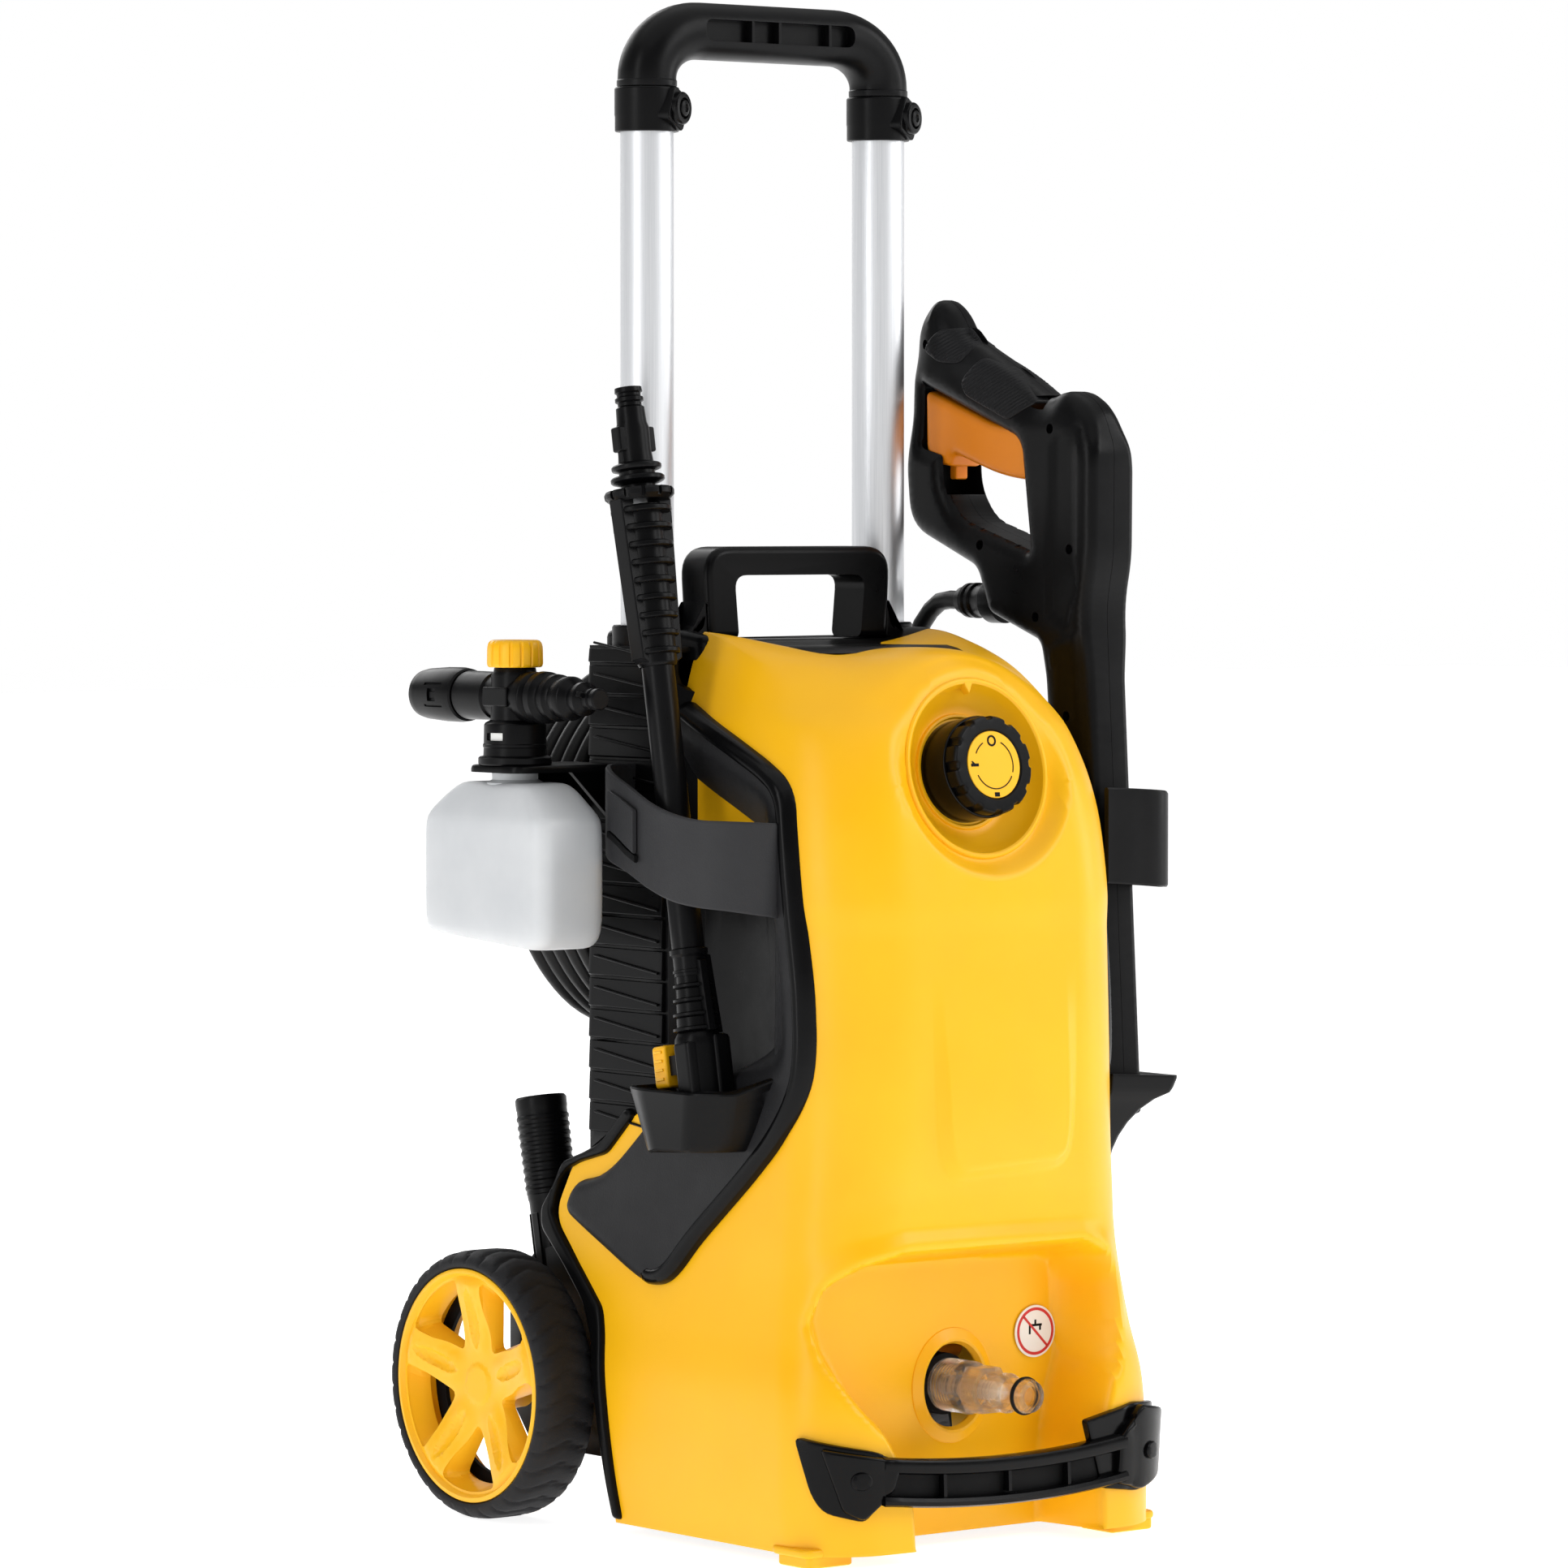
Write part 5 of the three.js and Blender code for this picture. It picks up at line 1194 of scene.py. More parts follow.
def rim(mirror):
    circle = lambda r, n=120: np.column_stack([np.cos(np.arange(n) * 2 * math.pi / n),
                                               np.sin(np.arange(n) * 2 * math.pi / n)]) * r
    dents = []
    for i in range(5):
        a = math.radians(90 + i * 72)
        for k in (0.45, 0.8, 1.0, 1.12):
            t = np.arange(30) * math.pi / 15
            u, v = 35 + 16.5 * k * np.cos(t), 4.3 * k * np.sin(t)
            dents.append(np.column_stack([u * math.cos(a) - v * math.sin(a), u * math.sin(a) + v * math.cos(a)]))
    star = plate(circle(61.7), spoke_height, rings=(0.6, 1.4, 2.4, 3.2, 4.0), spacing=2.4, back=-15.0,
                 features=dents + [circle(57.6), circle(58.4, 110), circle(11.5, 40), circle(9.5, 36)])
    windows = []
    for i in range(5):
        base = math.radians(90 + 36 + i * 72)
        layers = []
        for grow, z in ((1.0, 3.0), (1.0, -4.0), (-2.6, -9.5), (-5.4, -20.0)):
            top = math.radians(25.0 + grow)
            rr = 56.0 + grow * 0.7
            arc = [(rr * math.cos(t), rr * math.sin(t), 7) for t in (top, top / 2, 0, -top / 2, -top)]
            o = rounded([(18.5 - grow, 0.0, 5)] + list(reversed(arc)), 7, 3)
            c, s_ = math.cos(base), math.sin(base)
            layers.append(np.column_stack([o[:, 0] * c - o[:, 1] * s_, o[:, 0] * s_ + o[:, 1] * c,
                                           np.full(len(o), z)]))
        windows.append(loft(layers))
    barrel = lathe([(57.0, -14.8), (61.8, -14.8), (61.8, -34.4), (57.2, -34.4), (56.0, -20)], 96)
    hub = lathe([(5.6, -14.8), (15, -14.8), (14, -36.5), (5.6, -36.5)], 48)
    body = "wheel_right" if mirror else "wheel_left"
    side = "right" if mirror else "left"
    at = lambda q: wheel_frame(moved(q, 0, 0, WHEEL_OUT - 1.0), mirror)
    piece("wheel_star_" + side, at(star), YELLOW, body, ("rim_" + side,), width=0.8, angle=40, sharp=44,
          holes=[at(w) for w in windows])
    piece("wheel_barrel_" + side, at(join(barrel, hub)), YELLOW, body, width=0.3)
    ring = lathe([(49.5, -22.0), (57.4, -20.5), (57.4, -24.5), (49.5, -24.5)], 72)
    piece("wheel_web_" + side, at(ring), INNER, body, width=0.2)


def tyre(mirror):
    lugs, per = 34, 10
    n = lugs * per
    lo, hi = WHEEL_IN, WHEEL_OUT
    # radius, level across the tread, how much of a groove runs there, and how far it slants
    section = [(61.9, lo + 2.5, 0, 0), (64, lo + 1.0, 0, 0), (67.2, lo + 0.5, 0.3, 0), (69.2, lo + 2.2, 1, 0),
               (70.4, lo + 5.4, 1, 0.15), (70.9, lo + 9.5, 1, 0.3),
               (71.0, lo + 14, 0.9, 0.45), (71.0, lo + 18, 0.8, 0.6), (71.0, hi - 14, 0.9, 0.45),
               (70.9, hi - 9.5, 1, 0.3), (70.4, hi - 5.8, 1, 0.15),
               (69.0, hi - 2.6, 1, 0), (66.9, hi - 0.7, 0.6, 0), (64.6, hi - 0.1, 0.15, 0), (62.8, hi - 0.7, 0, 0),
               (61.9, hi - 2.0, 0, 0)]
    rings = []
    for i in range(n):
        ring = []
        for r, z, g, slant in section:
            phase = (i / per + slant) % 1.0
            cut = g * 1.7 * max(0.0, 1 - abs(phase - 0.5) / 0.14)
            a = 2 * math.pi * i / n
            ring.append(((r - cut) * math.cos(a), (r - cut) * math.sin(a), z))
        rings.append(ring)
    m = len(section)
    pts = np.array(rings).reshape(-1, 3)
    faces = [(i * m + k, ((i + 1) % n) * m + k, ((i + 1) % n) * m + (k + 1) % m,
              i * m + (k + 1) % m) for i in range(n) for k in range(m)]
    side = "right" if mirror else "left"
    piece("tyre_tread_" + side, wheel_frame(shape(pts, faces), mirror), TYRE, "wheel_" + side, ("tyre_" + side,),
          width=0, sharp=35)


for _mirror in (False, True):
    rim(_mirror)
    tyre(_mirror)


# ------------------------------------------------------------------ bumper
def contour(z, out, fine=260):
    """The cover's plan outline at a height, moved outwards, with its arc length from the middle (left negative)."""
    order = np.argsort(_fine_rows[:, 0])
    w, f, r = (float(np.interp(z, _fine_rows[order, 0], _fine_rows[order, k])) for k in (1, 2, 3))
    xs = np.linspace(0, w - r, 60)
    pts = [(x, f - CROWN_BOW * (1 - (x / 95) ** 2 if x < 95 else 0)) for x in xs]
    pts += [(w - r + r * math.sin(t), f + r - r * math.cos(t)) for t in np.linspace(0, math.pi / 2, 60)[1:]]
    pts += [(w, y) for y in np.linspace(f + r, f + r + 60, 20)[1:]]
    p = np.array(pts)
    t = np.gradient(p, axis=0)
    t /= np.linalg.norm(t, axis=1, keepdims=True)
    p = p + np.column_stack([t[:, 1], -t[:, 0]]) * out
    s = np.concatenate([[0], np.cumsum(np.linalg.norm(np.diff(np.array(pts), axis=0), axis=1))])
    return s, p


def wrapped(s):
    """Takes (arc length, height above the skin, z) round the cover's plan."""
    p = s[0]
    length, base = contour(45, 0.0)
    _, outer = contour(45, 1.0)
    u = np.abs(p[:, 0])
    x = np.interp(u, length, base[:, 0]) + np.interp(u, length, outer[:, 0] - base[:, 0]) * p[:, 1]
    y = np.interp(u, length, base[:, 1]) + np.interp(u, length, outer[:, 1] - base[:, 1]) * p[:, 1]
    return np.column_stack([x * np.sign(p[:, 0]), y, p[:, 2]]), s[1]


def bumper():
    def rail(z0, z1, proud, x0=-84, x1=76):
        rings = []
        for x in np.linspace(x0, x1, 47):
            up = 4.2 * (x / 75) ** 2
            rings.append([(x, h, z + up) for h, z in ((-1, z0 + 0.5), (proud - 2.5, z0), (proud - 0.6, z0 + 1.0),
                                                      (proud, z0 + 3.0), (proud, z1 - 2.6),
                                                  (proud - 0.8, z1 - 0.8), (proud - 2.8, z1), (-1, z1 - 0.4))])
        return wrapped(loft(rings))
    upper, lower = rail(43.0, 51.3, 8.0), rail(26.5, 32.2, 9.0)
    web = wrapped(loft([[(x, h, z + 4.2 * (x / 75) ** 2) for h, z in ((-1, 29), (2.0, 29), (2.0, 47),
        (-1, 47))] for x in np.linspace(-84, 76, 47)]))
    ribs = [wrapped(loft([[(x - 1, h, z) for h, z in ((0, 33), (6.5, 33), (6.0, 45), (0, 45))],
                          [(x + 1, h, z) for h, z in ((0, 33), (6.5, 33), (6.0, 45), (0, 45))]]))
            for x in (-46, -4, 36)]
    piece("bumper_rails", join(upper, lower, *ribs), GLOSS, "chassis", ("bumper",), width=0.3)
    piece("bumper_web", web, INNER, "chassis", width=0)
    for sign, side in ((-1, "left"), (1, "right")):
        if sign < 0:
            outline = [(-72, 53, 3), (-77, 38, 3), (-92, 23.5, 3), (-112, 28.5, 6), (-118, 37, 8), (-127, 66.5, 4),
                       (-86, 59, 4)]
        else:
            outline = [(51, 64, 2), (56, 48, 3), (62, 28, 4), (90, 24, 4), (112, 28.5, 6), (118, 37, 8),
                       (127, 66.5, 4), (88, 70.5, 3)]
        o = rounded(outline, 4, 3)

        def height(u, z, d):
            return 2.2 + round_over(d, 1.0, 1.2)

        def raised(u, z, d):
            return 5.4 + round_over(d, 1.6, 1.8) + 0.05 * (z - 40)

        block = [(-113, 61.5), (-73, 54), (-78, 38), (-93, 24.5), (-103, 29.5)]
        if sign > 0:
            block = [(72, 54), (88, 69.5), (112, 65), (119, 60), (111, 30), (90, 25), (71, 30)]
        block = [(a, b, 2.5) for a, b in block]
        low = plate(o, height, rings=(0.4, 1.2, 2.4), spacing=4.0, back=-1.0)
        s = join(low, plate(rounded(block, 3, 3), raised, rings=(0.5, 1.1, 1.8, 3.0), spacing=4.0, back=0.0))
        p = s[0]
        s = wrapped((np.column_stack([p[:, 0], p[:, 2], p[:, 1]]), s[1]))
        piece("bumper_pad_" + side, s, GLOSS, "chassis", width=0, sharp=38)
        boss = aim(lathe([(0, -4), (4.6, -4), (4.6, 0.2), (4.0, 0.9), (2.0, 1.1), (0, 0.6)], 36), (0, 0, 1))
        q = boss[0]
        piece("bumper_boss_" + side, wrapped((np.column_stack([q[:, 0] + sign * 95, q[:, 2] + 8.2, q[:, 1] + 45]),
                                              boss[1])), BLACK, "chassis", width=0)


bumper()


# ------------------------------------------------------------------ feet, inlet and notice
def feet():
    for sign in (-1, 1):
        pad = prism("xy", rounded([(-15, -13), (14, -13), (14, 13), (-15, 13)], 3), 0.0, 8, 1.2)
        step = prism("xy", rounded([(-18, -15), (15, -15), (15, 16), (-18, 16)], 6), 5.6, 10, 1.5)
        s = moved(join(pad, step), sign * 101, -141)
        side = "left" if sign < 0 else "right"
        piece("front_foot_" + side, s, YELLOW, "chassis", ("foot_" + side,), width=0.4)


feet()


def inlet():
    at = lambda s: aim(s, (0, -1, 0), 0, -48, 82)
    profile = [(5.2, 74.4), (13.2, 75.0), (13.8, 76.0)]
    z = 76.0
    while z < 91:
        profile += [(13.8, z + 0.5), (12.8, z + 1.0), (12.8, z + 1.6), (13.8, z + 2.1)]
        z += 2.2
    profile += [(13.9, 94.5), (13.2, 96.5), (9.8, 97.5), (9.4, 99)]
    profile += [(9.4, 112), (8.6, 113), (8.6, 119), (10.2, 120), (10.4, 124), (9.6, 126), (8.4, 127), (8.4, 134.5),
                (9.0, 135.0), (9.0, 139.5),
                (8.4, 140.2), (8.2, 142.4), (7.4, 143), (5.4, 143), (5.2, 141)]
    body = lathe(profile, 64)
    piece("inlet_shell", at(body), CLEAR, "chassis", ("inlet_filter",), width=0)
    hexagon = [(13.6 * math.cos(math.radians(60 * i)), 13.6 * math.sin(math.radians(60 * i))) for i in range(6)]
    collar = prism("xy", rounded(hexagon, 1.5, 3), 97.6, 110.5, 1.0)
    bore = lathe([(0, 90), (9.6, 90), (9.6, 120), (0, 120)], 40)
    piece("inlet_hex", at(collar), CLEAR, "chassis", width=0.3, holes=[at(bore)])
    core = lathe([(0, 62), (4.6, 62), (4.6, 118), (3.6, 120), (0, 120)], 32)
    piece("inlet_strainer", at(core), WHITE, "chassis", width=0)
    hoops = [lathe([(4.3, z), (5.1, z + 0.3), (5.1, z + 0.9), (4.3, z + 1.2)], 32) for z in np.arange(76, 117, 2.8)]
    piece("inlet_mesh", at(join(*hoops)), MILKY, "chassis", width=0)
    seal = lathe([(8.9 + 1.0 * math.cos(a), 137.3 + 1.3 * math.sin(a)) for a in np.arange(12) * math.pi / 6], 48)
    piece("inlet_seal", at(seal), INNER, "chassis", width=0)
    socket = lathe([(9, 50), (16, 50), (16, 73.6), (9, 73.6)], 40)
    piece("inlet_socket", at(socket), INNER, "chassis", width=0.3)


inlet()


def notice():
    """A plain round notice: white disc with a red ring and a slanted red bar, no lettering."""
    red = moulded("red_print", "white_plastic", (205, 40, 40), (196, 34, 34), 0.4, 1400, 0.02)
    x0, z0, y0 = 54.5, 106.0, -129.3
    face = lambda s: aim(s, (0, -1, 0), x0, y0, z0)
    piece("notice_disc", face(lathe([(0, -0.6), (13.6, -0.6), (13.6, 0.0), (13.4, 0.15), (0, 0.15)], 64)), WHITE,
          "chassis", width=0)
    ring = lathe([(10.9, 0.1), (12.4, 0.1), (12.4, 0.3), (10.9, 0.3)], 64)
    bar = turn(box(-11.2, 11.2, -0.65, 0.65, 0.1, 0.3), "Z", -45)
    piece("notice_ring", face(join(ring, bar)), red, "chassis", width=0)
    tap = [box(-4.4, 4.4, 2.6, 3.8, 0.1, 0.28), box(-4.4, -3.2, -1.4, 2.7, 0.1, 0.28),
           box(-0.6, 0.6, 3.7, 6.0, 0.1, 0.28), box(2.6, 3.8, 0.4, 2.7, 0.1, 0.28)]
    piece("notice_mark", face(join(*tap)), INNER, "chassis", width=0)


notice()


# ------------------------------------------------------------------ turbo nozzle
def turbo():
    tilt = math.radians(11)
    at = lambda s: aim(s, (0, math.sin(tilt), math.cos(tilt)), -86, 92, 112)
    barrel = lathe([(0, 2), (9.6, 2), (11.6, 4), (12.0, 8), (12.4, 54), (12.9, 56), (12.9, 58), (0, 58)], 56)
    sleeve = [(0, 57), (12.6, 57), (13.2, 58)]
    for i in range(9):
        z = 60 + i * 4.6
        sleeve += [(13.1 + i * 0.05, z), (13.7 + i * 0.05, z + 0.9), (13.7 + i * 0.05, z + 2.2),
                   (13.1 + i * 0.05, z + 3.1)]
    sleeve += [(13.5, 102.5), (13.8, 104), (13.8, 108.6), (12.8, 109.9), (9.8, 109.9), (9.2, 105), (0, 104)]
    body = lathe(sleeve, 72)
    piece("turbo_barrel", at(barrel), BLACK, "turbo", ("turbo_nozzle",), width=0)
    piece("turbo_sleeve", at(body), BLACK, "turbo", width=0, sharp=30)
    bars = [turn(box(12.0, 12.9, -2.4, 2.4, 12, 48, 0.4), "Z", a) for a in range(0, 360, 45)]
    piece("turbo_ribs", at(join(*bars)), BLACK, "turbo", width=0.2)


turbo()

# ------------------------------------------------------------------ spray gun
GUN_X = 125.0
GUN_OUTLINE = [
    (-120, 214, 3), (-104, 483, 14), (-109.5, 507, 10), (-110, 566, 6), (-100, 588, 10), (-82, 597, 12),
               (-66, 591, 8), (-32, 609, 20), (6, 627, 6),
    (16, 641, 8), (28, 648, 10), (42, 634, 10), (45.5, 600, 20), (46, 560, 20), (42, 524, 14), (-14, 502, 6),
               (-19, 490, 8), (-24, 478, 4), (-66, 463, 5),
    (-68, 446, 3), (-88, 214, 3),
]
GUN_OPENING = [(-58, 511, 3), (0, 528, 14), (13, 545, 10), (14, 563, 3), (32, 567, 3), (33, 601, 3), (-50, 570, 8)]
GUN_TRIGGER = [(-62, 580), (-62, 562, 3), (-55, 548, 5), (-30, 551, 16), (9, 563, 3), (12, 556, 2), (27, 558, 3),
               (31.5, 566, 3), (32, 598, 5), (-30, 577, 12)]


def gun():
    outline, opening = rounded(GUN_OUTLINE, 8, 6), rounded(GUN_OPENING, 7, 6)

    def height(y, z, d):
        rim = (-distance_to(opening, y, z)).clip(0, None)
        top = ease((z - 552) / 36)
        deep, wide = 6.5 + 6.5 * top, 9.0 + 13.0 * top
        edge = deep * (1 - np.sqrt(1 - (1 - d / wide).clip(0, 1) ** 2))
        full = 17.0 - 2.0 * ease((470 - z) / 30)
        full = full - 1.8 * ease((z - 600) / 18)
        rise = full - 6.5 + round_over(rim, 6.5, 9.0) - edge
        # long dished panel down the body and the raised barrel beside it
        panel = distance_to([(-97, 576), (-79, 570), (-76, 478), (-90, 470), (-99, 490)], y, z)
        rise -= 1.1 * ease((panel + 1.0) / 2.4)
        lower = distance_to([(-112, 226), (-98, 468), (-76, 460), (-92, 226)], y, z)
        rise += 1.0 * ease((lower + 0.6) / 1.8)
        return rise

    slot = prism("yz", rounded([(-68, 594), (-68, 551), (-57, 541), (32.6, 541), (32.6, 618), (-40, 592)], 2),
                 -13.4, 13.4)
    hole = prism("yz", opening, -60, 60)
    screws = [(29, 622), (-15, 603), (-77.4, 575.6), (-92, 512), (-66, 476), (-20, 514), (-90, 424), (-98, 300)]
    rings = [offset(opening, k) for k in (0.5, 1.4, 2.8, 4.6, 6.6, 8.8)]
    bore = lathe([(0, 6), (2.7, 6), (2.7, 30), (0, 30)], 24)
    for sign, side in ((-1, "left"), (1, "right")):
        s = plate(outline, height, rings=(0.6, 1.5, 2.8, 4.4, 6.4, 8.8), spacing=3.0, back=0.12, features=rings)
        p = s[0]
        shell = (np.column_stack([sign * p[:, 2], p[:, 0], p[:, 1]]), s[1])
        bores = [aim(bore, (sign, 0, 0), 0, y, z) for y, z in screws]
        trims = [moved(c, GUN_X) for c in [hole, slot] + bores]
        piece("gun_half_" + side, moved(shell, GUN_X), BLACK, "gun", ("gun_shell_" + side,), width=0, sharp=38,
              holes=trims)
        heads = [moved(aim(lathe([(0, 9), (2.6, 9), (2.6, 10.6), (1.0, 10.6), (0.8, 9.8), (0, 9.8)], 20),
                           (sign, 0, 0), 0, y, z), GUN_X)
                 for y, z in screws]
        piece("gun_screws_" + side, join(*heads), STEEL, "gun", width=0)
        # ribbed inlays of the handle
        for k, o in enumerate(([(30, 619), (19, 630), (4, 631), (-6, 622), (-1, 611), (16, 612)],
                               [(-4, 601), (-8, 594), (-44, 580), (-62, 590), (-38, 607), (-14, 615)])):
            ribs = lambda y, z, d: (height(y, z, distance_to(outline, y, z).clip(0, None)) + np.minimum(d,
                0.7) - 0.1
                                    + 0.45 * np.sin((y * 0.6 + z) * 2.6) * (d > 1.2))
            q = plate(rounded(o, 4, 3), ribs, rings=(0.5, 1.2), spacing=0.9, back=2.0)
            r = q[0]
            piece("gun_inlay_%s_%d" % (side, k), moved((np.column_stack([sign * (r[:, 2] + 0.1), r[:, 0], r[:, 1]]),
                                                        q[1]), GUN_X), DARK, "gun",
                  width=0, sharp=70)
    # trigger: a hooked lever with rounded flanks
    halves = []
    t = rounded(GUN_TRIGGER, 4, 5)
    for sign in (-1, 1):
        s = plate(t, lambda y, z, d: 8.2 + round_over(d, 4.6, 5.0), rings=(0.4, 1.0, 1.9, 3.2, 5.0), spacing=4.0)
        p = s[0]
        halves.append((np.column_stack([sign * p[:, 2], p[:, 0], p[:, 1]]), s[1]))
    lock_room = box(-4.5, 4.5, 13.6, 22, 540, 561)
    piece("gun_lever", moved(join(*halves), GUN_X), ORANGE, "trigger", ("gun_trigger",), width=0, sharp=40,
          holes=[moved(lock_room, GUN_X)])
    piece("gun_lock", moved(prism("yz", rounded([(14.5, 562.6), (14.5, 549.2), (20.3, 549.2), (20.3, 562.6)], 1.6),
                                  -4, 4, 0.8), GUN_X), ORANGE, "lock",
          ("trigger_lock",), width=0.2)
    inlet_axis = lambda s: aim(s, (0, 1, 0), GUN_X, -16, 484)
    neck = [(0, -6), (12, -6), (12, 4), (11, 6), (9.0, 9), (8.6, 15), (9.6, 16), (9.6, 18.5), (8.4, 19.2),
            (8.4, 20.6), (9.4, 21.4), (9.4, 23.6),
            (8.0, 24.4), (7.2, 29.6), (6.4, 30.2), (0, 30.2)]
    piece("gun_hose_neck", inlet_axis(lathe(neck, 48)), BLACK, "gun", ("gun_inlet",), width=0, sharp=32)
    # quick connection of the lance socket at the barrel's foot
    piece("gun_muzzle", aim(lathe([(0, 0), (8.5, 0), (8.5, 12), (7, 13), (7, 16), (0, 16)], 40),
                            (0, math.sin(math.radians(4)), math.cos(math.radians(4))),
                            GUN_X, -104.5, 211.5), BLACK, "gun", width=0)


gun()


# ------------------------------------------------------------------ lance
LANCE_X, LANCE_Y, LANCE_Z, LANCE_TILT = -118.0, -75.0, 210.0, math.radians(10)
LANCE_AXIS = (0, math.sin(LANCE_TILT), math.cos(LANCE_TILT))


def lance():
    def at(s):
        p = s[0]
        c, k = math.cos(LANCE_TILT), math.sin(LANCE_TILT)
        return np.column_stack([p[:, 0] + LANCE_X, p[:, 1] * c + p[:, 2] * k + LANCE_Y,
                                -p[:, 1] * k + p[:, 2] * c + LANCE_Z]), s[1]

    head = lathe([(0, 0), (10.8, 0), (12.2, 1.6), (12.5, 4), (12.5, 50), (12.0, 54), (10.4, 57), (0, 57)], 56)
    block = prism("xy", rounded([(-7.2, 0), (7.2, 0), (7.2, 16.8), (-7.2, 16.8)], 2), 30, 58, 1.2)
    flats = [prism("xy", rounded([(0, -14.2), (9, -13.8), (14.4, -8), (14.4, 2), (0, 4)], 2), 8, 55, 2.2)]
    flats += [prism("xy", rounded([(-12.9, -6.5), (-10, -9), (10, -9), (12.9, -6.5), (12.9, 5), (-12.9, 5)], 2), 24,
                    52, 1.5)]
    recess = box(-4.6, 4.6, 13.4, 20, 37, 47)
    piece("lance_head_body", at(join(head, block, *flats)), BLACK, "lance", ("lance_head",), width=0.5,
          holes=[at(recess)])
    cone = [(0, 56)]
    for i in range(5):
        z, r = 57.5 + i * 7.4, 12.2 - i * 0.75
        cone += [(r - 2.0, z), (r, z + 0.6), (r, z + 1.9), (r - 2.1, z + 2.6), (r - 2.3, z + 7.0)]
    cone += [(8.9, 96), (9.9, 97), (9.9, 99.5), (8.6, 100.2), (0, 100.2)]
    piece("lance_cone", at(lathe(cone, 56)), BLACK, "lance", width=0, sharp=32)
    webs = [at(prism("yz", [(s * 5, 57), (s * 13.2, 57), (s * 11.2, 93), (s * 5, 95)] if s > 0 else [(-5, 95),
        (-11.2, 93), (-13.2, 57), (-5, 57)], -2.2, 2.2, 0.4))
            for s in (-1, 1)]
    sides = [at(prism("xz", [(4, 56), (13.4, 56), (10.6, 96), (4, 98)], -4.6, 4.6, 0.6))]
    piece("lance_webs", join(*webs, *sides), BLACK, "lance", width=0.2)
    piece("lance_pipe", at(lathe([(0, 86), (8.5, 86), (8.5, 246), (0, 246)], 48)), BLACK, "lance", ("lance_tube",),
          width=0)

    g0, flange = 246, 336
    core = [(0, g0), (9.4, g0), (10.4, g0 + 2), (10.6, flange - 6), (0, flange - 6)]
    rings = []
    for i in range(9):
        z, r = g0 + 6 + i * 9.2, 12.4 + i * 0.42
        rings.append(lathe([(8, z), (r - 0.8, z), (r, z + 0.7), (r, z + 2.6), (r - 0.8, z + 3.3), (8, z + 3.3)],
                           56))
    rails = []
    for s in (-1, 1):
        rails.append(prism("xz", [(s * 8, g0 + 1), (s * 12.8, g0 + 4), (s * 16.4, flange - 3),
                                  (s * 8, flange - 1)][::s], -5.2, 5.2, 0.8))
    rails.append(prism("yz", [(8, g0 + 1), (12.6, g0 + 4), (16.2, flange - 3), (8, flange - 1)], -2.0, 2.0, 0.5))
    cap = lathe([(0, flange - 4), (15.4, flange - 4), (18.0, flange - 1.6), (18.2, flange + 0.6),
                 (17.4, flange + 2), (0, flange + 2)], 72)
    notches = [turn(box(16.6, 20, -1.0, 1.0, flange - 6, flange + 4), "Z", a) for a in range(0, 360, 30)]
    piece("lance_handle", at(join(lathe(core, 56), *rings, *rails)), BLACK, "lance", ("lance_grip",), width=0.25)
    piece("lance_collar", at(cap), BLACK, "lance", width=0, sharp=32, holes=[at(n) for n in notches])

    top = [(0, flange + 2), (9.2, flange + 2), (8.8, flange + 4.5), (13.2, flange + 6), (14, flange + 6.8),
           (14, flange + 8.4), (13.2, flange + 9.2),
           (9.4, flange + 10), (9.4, flange + 11.6), (12.6, flange + 12.6), (13.0, flange + 13.4),
           (13.0, flange + 14.6), (12.2, flange + 15.4),
           (9.2, flange + 16.4), (8.6, flange + 22), (8.8, flange + 34), (7.8, flange + 37), (7.4, flange + 45),
           (6.2, flange + 46),
           (6.2, flange + 47.6), (7.4, flange + 48.4), (7.4, flange + 50.2), (6.2, flange + 51),
           (6.2, flange + 52.4), (7.2, flange + 53.2),
           (7.0, flange + 55.6), (4.4, flange + 56), (4.0, flange + 52), (0, flange + 52)]
    piece("lance_spigot", at(lathe(top, 56)), BLACK, "lance", ("lance_connector",), width=0, sharp=30)
    lug = [prism("xy", rounded([(s * 6, -4.2), (s * 11.8, -3.4), (s * 11.8, 3.4), (s * 6, 4.2)][::s], 1.2),
                 flange + 22, flange + 35, 1.0) for s in (-1, 1)]
    step = [prism("xy", rounded([(s * 6, -3), (s * 9.6, -2.4), (s * 9.6, 2.4), (s * 6, 3)][::s], 1), flange + 16,
                  flange + 24, 0.6) for s in (-1, 1)]
    piece("lance_lugs", at(join(*lug, *step)), BLACK, "lance", width=0.25)

    # release button: a ribbed thumb pad
    pad = prism("xz", rounded([(-7.0, 31), (7.0, 31), (7.0, 53), (-7.0, 53)], 2.4), 20, 31.0, 1.4, 3)
    stem = box(-3.9, 3.9, 17.4, 21, 38, 46)
    ribs = [box(-4.2, 5.4, 30.2, 31.6, z, z + 1.5, 0.3) for z in (35, 39.6, 44.2, 48.8)]
    side = [box(-7.7, -6.7, 22.5, 28.8, z, z + 1.5, 0.2) for z in (35, 39.6, 44.2, 48.8)]
    piece("release_button", at(join(pad, stem, *ribs, *side)), YELLOW, "lance_release", ("lance_button",),
          width=0.25)


lance()


# ------------------------------------------------------------------ foam lance
FOAM_X, FOAM_Y, FOAM_Z = -153.0, 44.0, 436.0


